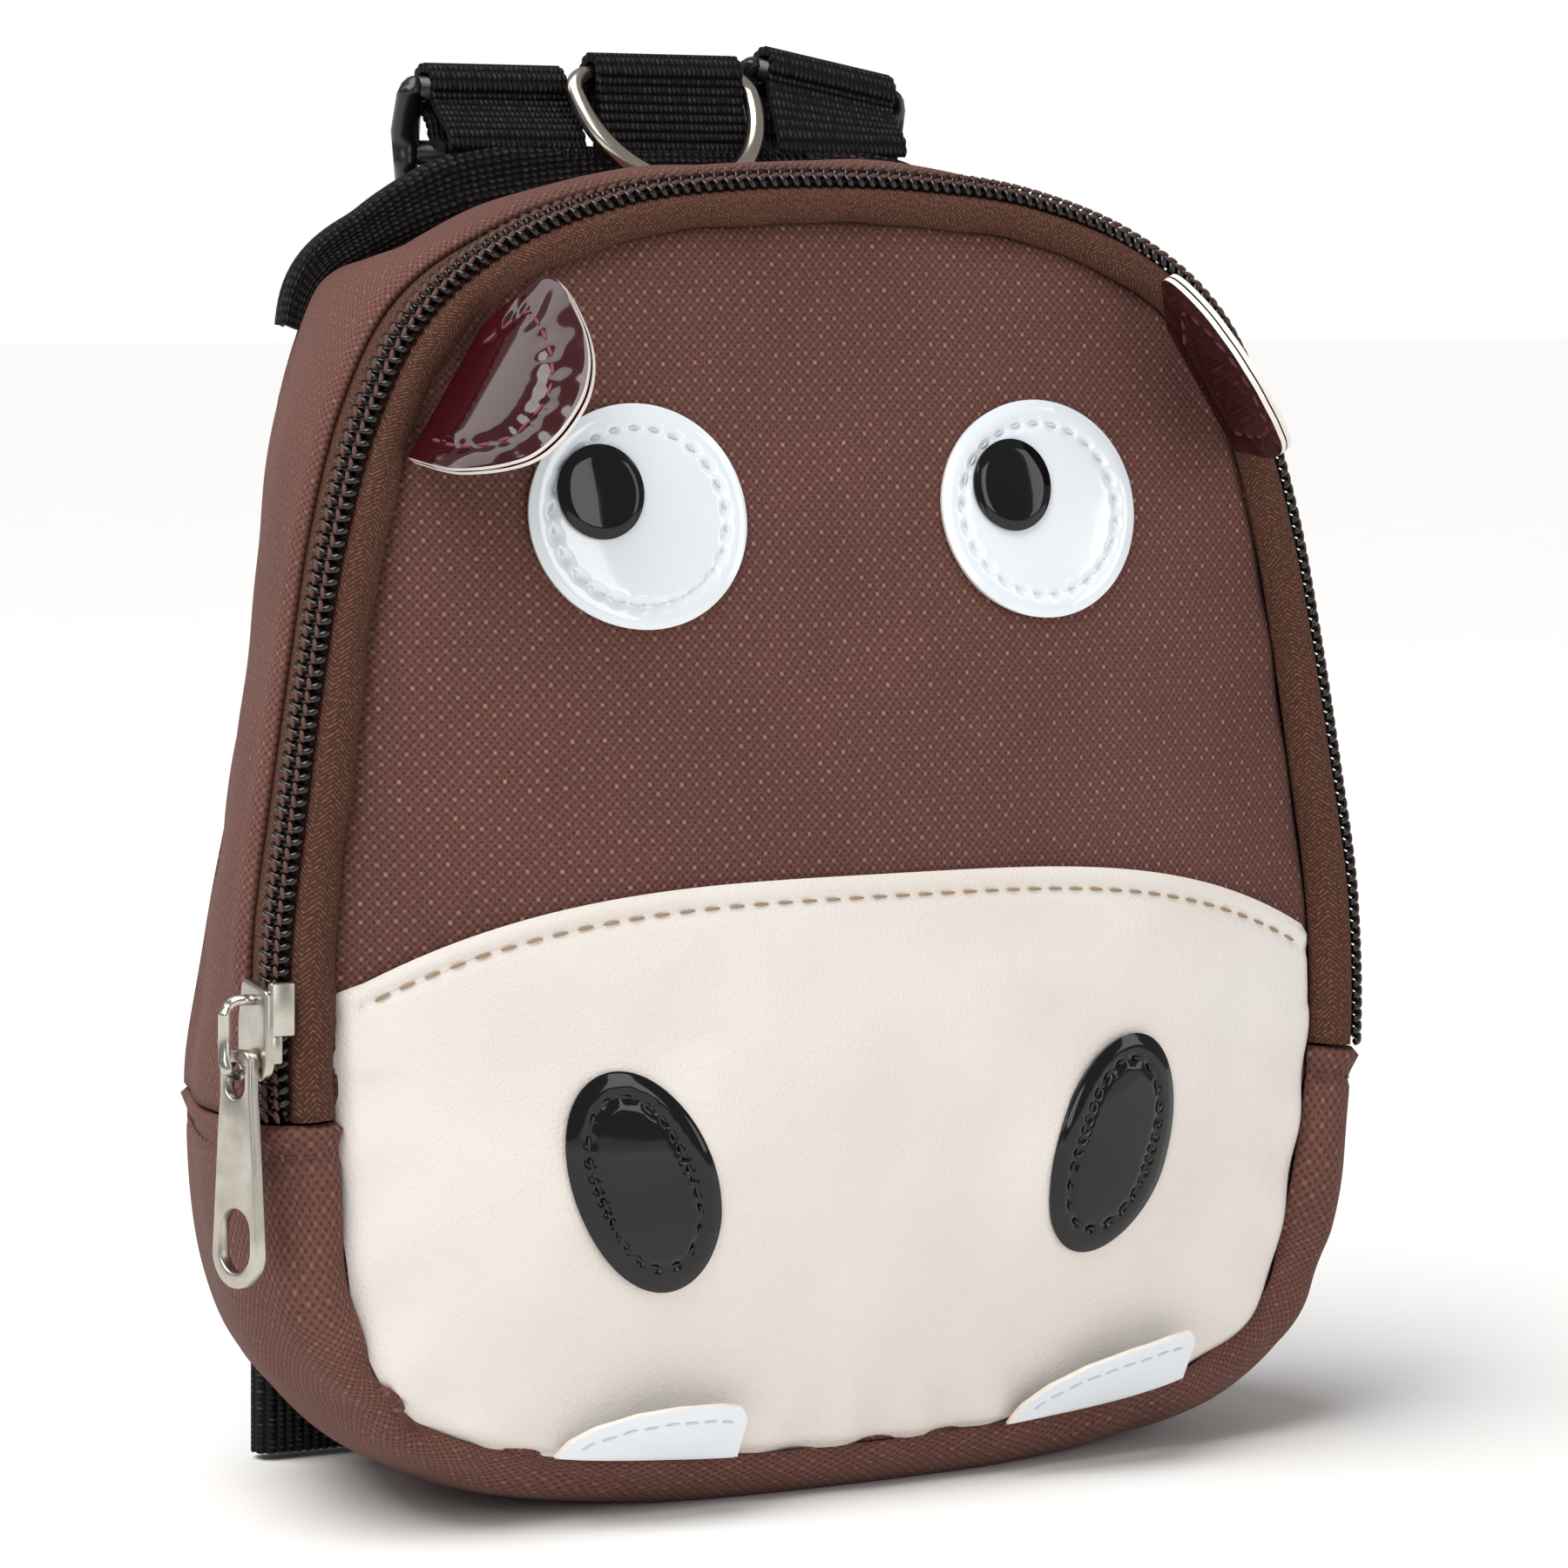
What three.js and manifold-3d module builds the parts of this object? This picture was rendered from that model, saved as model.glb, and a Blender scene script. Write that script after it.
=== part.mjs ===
import * as THREE from "three";
import { mergeVertices } from "three/addons/utils/BufferGeometryUtils.js";
import Module from "manifold-3d";

// A toddler's harness backpack with an animal face, in millimetres.
// x is to the bag's right in the picture, y goes to the back, z is up, and z = 0 is the floor.

// Body
const GAP = 0.3;
const DOME_GAP = 0.45;
const CLOTH = 1.6;
const FRONT_HALF_WIDTH = 73;
const FRONT_HEIGHT = 158.7;
const FRONT_FOOT = 6.8;
const BACK_HALF_WIDTH = 74;
const BACK_HEIGHT = 165;
const BACK_FOOT = 3;
const SEAM_Y = -27.9;
const SEAM_LEAN = 0.0568;
const BACK_Y = 21;
const BACK_SWELL = 2;
const CENTRE_Z = 68;
const DOME_POWER = 2.2;
const FLOOR_Z = 0;

// Front and back seams, from the foot to the top of one side, as shares of the sizes above.
// bulge is how far the side stands out of the seams there, in mm.
const SEAMS = [
  { frontUp: 0, frontOut: 0, backUp: 0, backOut: 0, bulge: 8 },
  { frontUp: 0.006, frontOut: 0.35, backUp: 0.006, backOut: 0.35, bulge: 8 },
  { frontUp: 0.03, frontOut: 0.7, backUp: 0.03, backOut: 0.7, bulge: 6.4 },
  { frontUp: 0.075, frontOut: 0.875, backUp: 0.078, backOut: 0.88, bulge: 5.4 },
  { frontUp: 0.15, frontOut: 0.952, backUp: 0.155, backOut: 0.965, bulge: 8 },
  { frontUp: 0.3, frontOut: 1, backUp: 0.3, backOut: 0.995, bulge: 9.7 },
  { frontUp: 0.42, frontOut: 0.997, backUp: 0.43, backOut: 0.957, bulge: 9.7 },
  { frontUp: 0.53, frontOut: 0.966, backUp: 0.54, backOut: 0.907, bulge: 9.4 },
  { frontUp: 0.64, frontOut: 0.93, backUp: 0.655, backOut: 0.865, bulge: 9 },
  { frontUp: 0.74, frontOut: 0.89, backUp: 0.76, backOut: 0.845, bulge: 8.6 },
  { frontUp: 0.83, frontOut: 0.833, backUp: 0.86, backOut: 0.81, bulge: 8.1 },
  { frontUp: 0.9, frontOut: 0.753, backUp: 0.93, backOut: 0.74, bulge: 7.6 },
  { frontUp: 0.95, frontOut: 0.615, backUp: 0.962, backOut: 0.6, bulge: 7.3 },
  { frontUp: 0.985, frontOut: 0.4, backUp: 0.985, backOut: 0.4, bulge: 7.2 },
  { frontUp: 0.997, frontOut: 0.19, backUp: 0.997, backOut: 0.19, bulge: 7.2 },
  { frontUp: 1, frontOut: 0, backUp: 1, backOut: 0, bulge: 7.2 },
];

// The side from the front seam to the back seam: shares of the depth and of the bulge, for the
// sides and top, and for the foot.
const SECTION = [
  { deep: 0, out: 0, footDeep: 0, footOut: 0 },
  { deep: -0.035, out: 0.22, footDeep: 0, footOut: 0.2 },
  { deep: -0.04, out: 0.5, footDeep: 0.015, footOut: 0.42 },
  { deep: -0.015, out: 0.7, footDeep: 0.045, footOut: 0.6 },
  { deep: 0.02, out: 0.83, footDeep: 0.09, footOut: 0.75 },
  { deep: 0.08, out: 0.94, footDeep: 0.15, footOut: 0.88 },
  { deep: 0.22, out: 1, footDeep: 0.25, footOut: 0.98 },
  { deep: 0.38, out: 0.96, footDeep: 0.38, footOut: 1 },
  { deep: 0.55, out: 0.8, footDeep: 0.55, footOut: 0.84 },
  { deep: 0.72, out: 0.53, footDeep: 0.72, footOut: 0.58 },
  { deep: 0.87, out: 0.24, footDeep: 0.87, footOut: 0.28 },
  { deep: 1, out: 0, footDeep: 1, footOut: 0 },
];
const FOOT_BLEND = { from: 14, to: 40 };
const TAPE_ROWS = { from: 0.15, to: 2.85 };
const CHAIN_ROW = 4;
const REAR_TAPE_ROWS = { from: 4.85, to: 6.1 };
const REAR_TAPE_SINK = 0.7;
const GUSSET_ROWS = { from: 6.2, to: 11 };
const LOWER_ROWS = { from: 0.15, to: 11 };
const ZIP_END_Z = 54.4;
const LIP_RISE = 0.5;
const LIP_REACH = 2.5;

// The two lower corners differ: out and down shift the front seam, bulge adds to the side.
const CORNER = {
  left: { z: 21, reach: 17, out: 2.2, down: 1.1, bulge: 0 },
  right: { z: 36, reach: 14, out: -1.6, down: 0, bulge: 7.5 },
};
const CORNER_BULGE = { z: 20, reach: 18 };

// How far the front panel domes forward, by height.
const FRONT_SWELL = [
  { z: 0, swell: 9 },
  { z: 40, swell: 12.5 },
  { z: 80, swell: 11 },
  { z: 110, swell: 8.5 },
  { z: 130, swell: 6 },
  { z: 165, swell: 4 },
];

// Pleats and soft dents in the sides: t runs round the bag from the middle of the foot, row
// counts the section's rows, and wide is in mm along the seam. Minus is a dent.
const PLEATS = [
  { t: 0.895, row: 2.5, wide: 3.5, rows: 4, lift: -1.5 },
  { t: 0.874, row: 2.5, wide: 4, rows: 3.5, lift: 0.8 },
  { t: 0.058, row: 2, wide: 3, rows: 3, lift: -1.2 },
  { t: 0.12, row: 2, wide: 4, rows: 3, lift: -0.9 },
  { t: 0.815, row: 8, wide: 9, rows: 2.5, lift: -1.1 },
  { t: 0.19, row: 8, wide: 9, rows: 2.5, lift: -1.1 },
  { t: 0.6, row: 8, wide: 7, rows: 2, lift: -0.9 },
  { t: 0.4, row: 8, wide: 7, rows: 2, lift: -0.9 },
  { t: 0.47, row: 7.2, wide: 13, rows: 1.6, lift: 1.2 },
  { t: 0.503, row: 9.3, wide: 15, rows: 1.1, lift: -2.4 },
];

// Face
const PANEL_EDGE = 0.996;
const MUZZLE_TOP = 82.7;
const MUZZLE_DROP = 12.7;
const MUZZLE_POWER = 3.2;
const MUZZLE_CENTRE_Z = 44;
const MUZZLE_THICK = 1.1;
const PATCH_THICK = 0.8;
const EYE_WHITE = { left: -31.3, right: 28.3, z: 128.6, wide: 15.2, tall: 14.2 };
const PUPIL = { left: -36.9, right: 23.7, z: 131.8, wide: 6, tall: 6 };
const NOSTRIL = { left: -36, right: 34, z: 45.3, wide: 9.3, tall: 15.1, turn: 0.4 };

// Ears: a leaf in its own plane. along runs up the seam, reach is out of the seam.
const EAR_FOOT = { x: 62.3, z: 135.7 };
const EAR_TOP = { x: 51.6, z: 152.2 };
const EAR_LEAN = { left: 0.36, right: 0.25 };
const EAR_REACH = 23.5;
const EAR_THICK = 1.5;
const EAR_CURL = 2.2;
const EAR_LEAF = [
  { along: 0.02, reach: 0.03 },
  { along: 0.0, reach: 0.45 },
  { along: 0.16, reach: 0.83 },
  { along: 0.42, reach: 0.98 },
  { along: 0.78, reach: 0.98 },
  { along: 1.12, reach: 0.78 },
  { along: 1.42, reach: 0.37 },
  { along: 1.2, reach: 0.15 },
  { along: 1.0, reach: 0.03 },
];

// Teeth
const TOOTH = { thick: 1.4, bow: 1.6, lean: 0.5 };
const TOOTH_SPAN = {
  left: { from: -45.2, to: -19.4, up: 9 },
  right: { from: 22, to: 49.3, up: 9.6 },
};

// A tooth's height, from its thin end to its square end, as shares.
const TOOTH_RISE = [
  { along: 0, rise: 0 },
  { along: 0.05, rise: 0.3 },
  { along: 0.16, rise: 0.58 },
  { along: 0.34, rise: 0.83 },
  { along: 0.55, rise: 0.96 },
  { along: 0.8, rise: 1 },
  { along: 0.93, rise: 0.94 },
  { along: 0.99, rise: 0.7 },
  { along: 1, rise: 0 },
];

// Zip
const CHAIN = { half: 1.75, thick: 0.95 };
const SLIDER_Z = 66;
const SLIDER = { long: 12.5, wide: 7.6, plate: 1.3, above: 1.75, turn: -0.4 };

// The slider's edges fold in towards the tape: side, depth under the plate, and its span up.
const FLANGES = [
  { side: 1, deep: 2.8, low: -0.6, high: 6.25, thick: 1 },
  { side: 1, deep: 1.1, low: -4, high: -0.4, thick: 0.9 },
  { side: -1, deep: 0.5, low: -4, high: 5, thick: 0.8 },
];
const BAIL = { wire: 0.7, half: 1, low: -5.4, high: 3.8, rise: 3.8, corner: 2 };
const PULL_PIVOT = { side: -0.2, up: -3.05, out: 1.6, turn: 0.2 };
const PULL = { long: 29.5, wide: 8.8, neck: 5.8, thick: 1.7, hole: 1.9, holeLong: 4.6,
  shoulder: 6 };
const PULL_EYE = { wide: 5.8, tall: 8, fromEnd: 1.9 };

// Webbing and hardware at the top
const WEBBING = 1.4;
const LOOP_PLAY = 0.5;
const BAND = { above: 6.7, rise: 5, crown: 3.5, thick: 3, y: BACK_Y + 0.5, from: 0.35, to: 0.65 };
const BAND_TOP = BACK_FOOT + BACK_HEIGHT + BAND.above;
const CENTRE_LOOP_WIDE = 22;
const CENTRE_LOOP_X = -1.3;
const SIDE_LOOP_WIDE = 20;
const SIDE_LOOP_X = 25;
const RIGHT_LOOP_TURN = 0.18;
const RING = { wire: 1.3, half: 13.4, deep: 18, x: -1.85, behind: 4.5, above: 10.5,
  lean: 0.62 };
const LOCK = { rail: 4, bar: 3.4, long: 20.5, thick: 3.6, behind: 9, above: 8.3,
  lean: 0.12 };

// Both hang from the loops that stand on the band.
const RING_Y = BAND.y + RING.behind;
const RING_Z = BAND_TOP + RING.above;
const LOCK_Y = BAND.y + LOCK.behind;
const LOCK_Z = BAND_TOP + LOCK.above;

// The lock's side rails bow out: share of the length, and of the rail's width.
const RAIL = [
  { down: 0, wide: 0.55 },
  { down: 0.12, wide: 0.85 },
  { down: 0.36, wide: 1 },
  { down: 0.66, wide: 0.75 },
  { down: 1, wide: 0.42 },
];
const STRAP_WIDE = 19;
const STRAP_TAIL = 13;
const TAB = { wide: 25, inner: 37, outer: 61.5, y: 24.8, foot: 1 };

const SIDES = [
  { name: "left", sign: -1 },
  { name: "right", sign: 1 },
];
const COLOUR = {
  brown: 0x5f3d37,
  tape: 0x6b4232,
  chain: 0x1d1614,
  cream: 0xefe2d9,
  white: 0xeef1f4,
  maroon: 0x46161b,
  black: 0x111111,
  webbing: 0x171717,
  nickel: 0xc6c3bd,
};

const wasm = await Module();
wasm.setup();
const group = new THREE.Group();

function addPiece(name, geometry, colour) {
  const material = new THREE.MeshStandardMaterial({ color: COLOUR[colour], roughness: 0.7 });
  const mesh = new THREE.Mesh(geometry, material);
  mesh.name = name;
  group.add(mesh);
}

// Closed solid from triangles given by index, turned so that its faces look outwards.
function closedGeometry(points, triangles) {
  let volume = 0;
  for (const [a, b, c] of triangles) {
    volume += points[a].dot(new THREE.Vector3().crossVectors(points[b], points[c]));
  }
  const index = triangles.flatMap(([a, b, c]) => (volume < 0 ? [a, c, b] : [a, b, c]));
  const geometry = new THREE.BufferGeometry();
  geometry.setAttribute("position", new THREE.Float32BufferAttribute(
    points.flatMap((p) => [p.x, p.y, p.z]), 3));
  geometry.setIndex(index);
  geometry.computeVertexNormals();
  return geometry;
}

// Sheet between an outer and an inner surface, both functions of a column and a row value.
function shell(outer, inner, columns, rows, closed) {
  const points = [];
  const known = new Map();
  const triangles = [];
  const indexOf = (p) => {
    const key = [p.x, p.y, p.z].map((n) => Math.round(n * 2000)).join(" ");
    if (!known.has(key)) {
      known.set(key, points.length);
      points.push(p);
    }
    return known.get(key);
  };
  const quad = (a, b, c, d) => {
    for (const triangle of [[a, b, c], [a, c, d]]) {
      if (new Set(triangle).size === 3) triangles.push(triangle);
    }
  };
  const grid = (surface) => columns.map((u) => rows.map((v) => indexOf(surface(u, v))));
  const outside = grid(outer);
  const inside = grid(inner);
  const steps = closed ? columns.length : columns.length - 1;
  const last = rows.length - 1;
  for (let i = 0; i < steps; i++) {
    const j = (i + 1) % columns.length;
    for (let k = 0; k < last; k++) {
      quad(outside[i][k], outside[j][k], outside[j][k + 1], outside[i][k + 1]);
      quad(inside[i][k + 1], inside[j][k + 1], inside[j][k], inside[i][k]);
    }
    quad(outside[i][0], inside[i][0], inside[j][0], outside[j][0]);
    quad(outside[i][last], outside[j][last], inside[j][last], inside[i][last]);
  }
  if (!closed) {
    const end = columns.length - 1;
    for (let k = 0; k < last; k++) {
      quad(outside[0][k], outside[0][k + 1], inside[0][k + 1], inside[0][k]);
      quad(outside[end][k + 1], outside[end][k], inside[end][k], inside[end][k + 1]);
    }
  }
  return closedGeometry(points, triangles);
}

function spread(from, to, count) {
  return Array.from({ length: count + 1 }, (_, i) => from + ((to - from) * i) / count);
}

function turnsOf(count) {
  return Array.from({ length: count }, (_, i) => (i / count) * 2 * Math.PI);
}

// Solid made by moving a closed profile along a list of frames with an origin and two axes.
function sweep(frames, profile, closed = false) {
  const points = frames.flatMap((frame) => profile.map(([across, up]) =>
    frame.at.clone().addScaledVector(frame.across, across).addScaledVector(frame.up, up)));
  const triangles = [];
  const n = profile.length;
  const steps = closed ? frames.length : frames.length - 1;
  for (let i = 0; i < steps; i++) {
    const next = ((i + 1) % frames.length) * n;
    for (let k = 0; k < n; k++) {
      const j = (k + 1) % n;
      triangles.push([i * n + k, next + k, next + j], [i * n + k, next + j, i * n + j]);
    }
  }
  const end = (frames.length - 1) * n;
  for (let k = 1; k < n - 1 && !closed; k++) {
    triangles.push([0, k, k + 1], [end, end + k + 1, end + k]);
  }
  return closedGeometry(points, triangles);
}

function roundProfile(across, up, sides) {
  return turnsOf(sides).map((a) => [across * Math.cos(a), up * Math.sin(a)]);
}

function stripProfile(wide, thick) {
  const edge = thick * 0.3;
  const w = wide / 2;
  const h = thick / 2;
  return [[-w, -h + edge], [-w + edge, -h], [w - edge, -h], [w, -h + edge],
    [w, h - edge], [w - edge, h], [-w + edge, h], [-w, h - edge]];
}

// Frames along a path of [y, z] pairs in an upright plane at x, with the width along x.
function planeFrames(path, x) {
  const knots = path.map(([y, z]) => new THREE.Vector3(x, y, z));
  const curve = new THREE.CatmullRomCurve3(knots, false, "centripetal");
  return spread(0, 1, knots.length - 1).map((t) => {
    const tangent = curve.getTangent(t);
    const across = new THREE.Vector3(1, 0, 0);
    const up = new THREE.Vector3().crossVectors(across, tangent).normalize();
    return { at: curve.getPoint(t), across, up };
  });
}

function toSolid(geometry) {
  const plain = new THREE.BufferGeometry();
  plain.setAttribute("position", geometry.getAttribute("position"));
  if (geometry.index) plain.setIndex(geometry.index);
  const merged = mergeVertices(plain, 1e-3);
  const index = Array.from(merged.index.array);
  const triangles = [];
  for (let i = 0; i < index.length; i += 3) {
    const triangle = index.slice(i, i + 3);
    if (new Set(triangle).size === 3) triangles.push(...triangle);
  }
  return new wasm.Manifold(new wasm.Mesh({
    numProp: 3,
    vertProperties: merged.attributes.position.array,
    triVerts: new Uint32Array(triangles),
  }));
}

function fromSolid(solid) {
  const mesh = solid.getMesh();
  const geometry = new THREE.BufferGeometry();
  geometry.setAttribute("position", new THREE.Float32BufferAttribute(mesh.vertProperties, 3));
  geometry.setIndex(Array.from(mesh.triVerts));
  geometry.computeVertexNormals();
  return geometry;
}

// Seam curves: each knot is one row of the table, first up the right side, then down the left.
function seamCurve(outKey, upKey, halfWidth, height, foot, corner, depthAt) {
  const even = SEAMS.map((row) => [row[outKey] * halfWidth, foot + row[upKey] * height]);
  const shifted = ({ z: middle, reach, out, down }) => ([x, z]) => {
    const share = Math.exp(-(((z - middle) / reach) ** 2)) * (x / halfWidth) ** 2;
    return corner ? [x + out * share, z - down * share] : [x, z];
  };
  const right = even.map(shifted(CORNER.right));
  const left = even.slice(1, -1).reverse().map(shifted(CORNER.left)).map(([x, z]) => [-x, z]);
  const knots = [...right, ...left].map(([x, z]) => new THREE.Vector3(x, depthAt(z), z));
  return new THREE.CatmullRomCurve3(knots, true, "centripetal");
}

const seamY = (z) => SEAM_Y + SEAM_LEAN * z;
const frontSeam = seamCurve("frontOut", "frontUp", FRONT_HALF_WIDTH, FRONT_HEIGHT, FRONT_FOOT,
  true, seamY);
const backSeam = seamCurve("backOut", "backUp", BACK_HALF_WIDTH, BACK_HEIGHT, BACK_FOOT,
  false, () => BACK_Y);

function wrapT(t) {
  return t - Math.floor(t);
}

function bulgeAt(t) {
  const rows = SEAMS.length - 1;
  const place = (wrapT(t) <= 0.5 ? wrapT(t) : 1 - wrapT(t)) * 2 * rows;
  const row = Math.min(Math.floor(place), rows - 1);
  const { x, z } = frontSeam.getPoint(wrapT(t));
  const { bulge } = x > 0 ? CORNER.right : CORNER.left;
  const share = Math.exp(-(((z - CORNER_BULGE.z) / CORNER_BULGE.reach) ** 2));
  const more = bulge * share * (x / FRONT_HALF_WIDTH) ** 2;
  return THREE.MathUtils.lerp(SEAMS[row].bulge, SEAMS[row + 1].bulge, place - row) + more;
}

const sideSection = new THREE.SplineCurve(SECTION.map((row) =>
  new THREE.Vector2(row.deep, row.out)));
const footSection = new THREE.SplineCurve(SECTION.map((row) =>
  new THREE.Vector2(row.footDeep, row.footOut)));

function outwardAt(t) {
  const ahead = frontSeam.getPoint(wrapT(t + 0.004));
  const behind = frontSeam.getPoint(wrapT(t - 0.004));
  return new THREE.Vector3(ahead.z - behind.z, 0, behind.x - ahead.x).normalize();
}

const SEAM_LENGTH = frontSeam.getLength();

function foldAt(t, row) {
  let lift = 0;
  for (const pleat of PLEATS) {
    const along = ((wrapT(t) - pleat.t) * SEAM_LENGTH) / pleat.wide;
    const down = (row - pleat.row) / pleat.rows;
    lift += pleat.lift * Math.exp(-along * along - down * down);
  }
  return lift;
}

// Outer skin of the sides: t runs round the bag from the middle of the foot, row across it.
function sideSkin(t, row, extra = 0) {
  const point = frontSeam.getPoint(wrapT(t));
  const side = THREE.MathUtils.smoothstep(point.z, FOOT_BLEND.from, FOOT_BLEND.to);
  const share = Math.min(1, row / (SECTION.length - 1));
  const { x: deep, y: out } = footSection.getPoint(share).lerp(sideSection.getPoint(share), side);
  point.lerp(backSeam.getPoint(wrapT(t)), deep);
  const edge = Math.min(1, row / 0.8, (SECTION.length - 1 - row) / 0.8);
  const stand = out * bulgeAt(t) + foldAt(t, row) * edge + extra;
  point.addScaledVector(outwardAt(t), stand);
  point.z = Math.max(point.z, FLOOR_Z);
  return point;
}

function sideNormal(t, row) {
  const high = Math.min(row + 0.12, SECTION.length - 1);
  const low = Math.max(row - 0.12, 0);
  const round = sideSkin(t + 0.003, row).sub(sideSkin(t - 0.003, row));
  const back = sideSkin(t, high).sub(sideSkin(t, low));
  return new THREE.Vector3().crossVectors(back, round).normalize();
}

function underSkin(t, row, depth) {
  return sideSkin(t, row).addScaledVector(sideNormal(t, row), -depth);
}

// The value of t at which the front seam passes a height on the right side.
function seamTAt(z) {
  let low = 0.05;
  let high = 0.5;
  for (let i = 0; i < 40; i++) {
    const middle = (low + high) / 2;
    if (frontSeam.getPoint(middle).z < z) low = middle;
    else high = middle;
  }
  return low;
}

const ZIP_T = seamTAt(ZIP_END_Z);
const GAP_T = GAP / SEAM_LENGTH;
const LEAST_STEP = 0.004;

function lipAt(t) {
  const near = Math.min(Math.abs(wrapT(t) - ZIP_T), Math.abs(1 - wrapT(t) - ZIP_T));
  return LIP_RISE * Math.exp(-Math.pow((near * SEAM_LENGTH) / LIP_REACH, 2));
}

// Extra columns where a pleat or the lip bends the cloth sharply.
function columnsWith(from, to, count, marks) {
  const columns = spread(from, to, count);
  for (const { t, wide } of marks) {
    for (const step of [-1, 0, 1]) {
      const near = t + (step * wide) / SEAM_LENGTH;
      if (near > from && near < to) columns.push(near);
    }
  }
  columns.sort((a, b) => a - b);
  let last = from;
  const kept = columns.filter((c) => {
    const clear = c - last > LEAST_STEP && to - c > LEAST_STEP;
    if (clear) last = c;
    return clear;
  });
  return [from, ...kept, to];
}

function makeSides() {
  const tapeColumns = spread(ZIP_T + GAP_T, 1 - ZIP_T - GAP_T, 32);
  const tapeRows = spread(TAPE_ROWS.from, TAPE_ROWS.to, 3);
  const tape = shell(sideSkin, (t, row) => underSkin(t, row, 1.1), tapeColumns, tapeRows);
  addPiece("zip_tape_front", tape, "tape");

  const rear = (sink) => (t, row) => underSkin(t, row, sink);
  addPiece("zip_tape_rear", shell(rear(REAR_TAPE_SINK), rear(REAR_TAPE_SINK + 1.1), tapeColumns,
    [REAR_TAPE_ROWS.from, REAR_TAPE_ROWS.to]), "tape");

  const marks = PLEATS.filter((pleat) => pleat.row > 5 && pleat.t > 0.45 && pleat.t < 0.55);
  const upperColumns = columnsWith(ZIP_T + GAP_T, 1 - ZIP_T - GAP_T, 32, marks);
  const upperRows = spread(GUSSET_ROWS.from, GUSSET_ROWS.to, 5);
  const upper = shell(sideSkin, (t, row) => underSkin(t, row, CLOTH), upperColumns, upperRows);
  addPiece("gusset_upper", upper, "brown");

  const shifted = PLEATS.map((pleat) => ({ ...pleat, t: pleat.t > 0.5 ? pleat.t - 1 : pleat.t }));
  const lips = [-1, 1].map((sign) => ({ t: sign * (ZIP_T - 3 / SEAM_LENGTH), wide: 2 }));
  const lowerColumns = columnsWith(-ZIP_T, ZIP_T, 20, [...shifted, ...lips]);
  const lowerRows = spread(LOWER_ROWS.from, LOWER_ROWS.to, 9);
  const lower = shell((t, row) => sideSkin(t, row, lipAt(t)),
    (t, row) => underSkin(t, row, CLOTH), lowerColumns, lowerRows);
  addPiece("gusset_lower", lower, "brown");
}

// Front surface: the dome over the front seam's plane.
const OUTLINE = spread(0, 1, 400).map((t) => {
  const point = frontSeam.getPoint(t);
  const up = point.z - CENTRE_Z;
  return { angle: Math.atan2(up, point.x), radius: Math.hypot(point.x, up) };
}).sort((a, b) => a.angle - b.angle);

function outlineRadius(angle) {
  const turned = Math.atan2(Math.sin(angle), Math.cos(angle));
  let i = OUTLINE.findIndex((row) => row.angle > turned);
  if (i <= 0) i = i === 0 ? 1 : OUTLINE.length - 1;
  const a = OUTLINE[i - 1];
  const b = OUTLINE[i];
  const share = THREE.MathUtils.clamp((turned - a.angle) / (b.angle - a.angle || 1), 0, 1);
  return THREE.MathUtils.lerp(a.radius, b.radius, share);
}

function tableValue(table, key, value, at) {
  const i = Math.max(1, table.findIndex((row) => row[key] >= at));
  const a = table[i - 1];
  const b = table[i];
  const share = THREE.MathUtils.clamp((at - a[key]) / (b[key] - a[key]), 0, 1);
  return THREE.MathUtils.lerp(a[value], b[value], share);
}

function frontY(x, z) {
  const up = z - CENTRE_Z;
  const share = Math.min(1, Math.hypot(x, up) / outlineRadius(Math.atan2(up, x)));
  const swell = tableValue(FRONT_SWELL, "z", "swell", z);
  return seamY(z) - swell * (1 - Math.pow(share, DOME_POWER));
}

// Domed piece on the front surface, star-shaped about a centre.
function frontPatch(centre, radiusAt, lift, thick, angles, rings) {
  const surface = (standing) => (angle, share) => {
    const x = centre.x + radiusAt(angle) * share * Math.cos(angle);
    const z = centre.z + radiusAt(angle) * share * Math.sin(angle);
    return new THREE.Vector3(x, frontY(x, z) - standing, z);
  };
  return shell(surface(lift + thick), surface(lift), angles, rings, true);
}

function makeFront() {
  const panel = frontPatch({ x: 0, z: CENTRE_Z }, (angle) => outlineRadius(angle) * PANEL_EDGE,
    -CLOTH, CLOTH, turnsOf(44), [0, 0.25, 0.45, 0.62, 0.77, 0.89, 1]);
  addPiece("front_panel", panel, "brown");
}

function muzzleTop(x) {
  return MUZZLE_TOP - MUZZLE_DROP * Math.pow(Math.abs(x) / FRONT_HALF_WIDTH, MUZZLE_POWER);
}

// Distance from the muzzle's centre to its edge: the top arc, or the panel's own seam.
function muzzleRadius(angle) {
  let low = 0;
  let high = 120;
  for (let i = 0; i < 40; i++) {
    const middle = (low + high) / 2;
    const x = middle * Math.cos(angle);
    const z = MUZZLE_CENTRE_Z + middle * Math.sin(angle);
    const up = z - CENTRE_Z;
    const limit = outlineRadius(Math.atan2(up, x)) * PANEL_EDGE;
    if (z < muzzleTop(x) && Math.hypot(x, up) < limit) low = middle;
    else high = middle;
  }
  return low;
}

// Even angles, with the two nearest moved to the corners where the top arc meets the seam.
function muzzleAngles() {
  const count = 42;
  const rise = muzzleTop(FRONT_HALF_WIDTH) - MUZZLE_CENTRE_Z;
  const corner = Math.atan2(rise, FRONT_HALF_WIDTH - 0.6);
  const step = (2 * Math.PI) / count;
  return turnsOf(count).map((angle) => {
    if (Math.abs(angle - corner) < step / 2) return corner;
    if (Math.abs(angle - (Math.PI - corner)) < step / 2) return Math.PI - corner;
    return angle;
  });
}

function ellipseRadius({ wide, tall, turn = 0 }) {
  return (angle) => {
    const a = angle - turn;
    return 1 / Math.hypot(Math.cos(a) / wide, Math.sin(a) / tall);
  };
}

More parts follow.
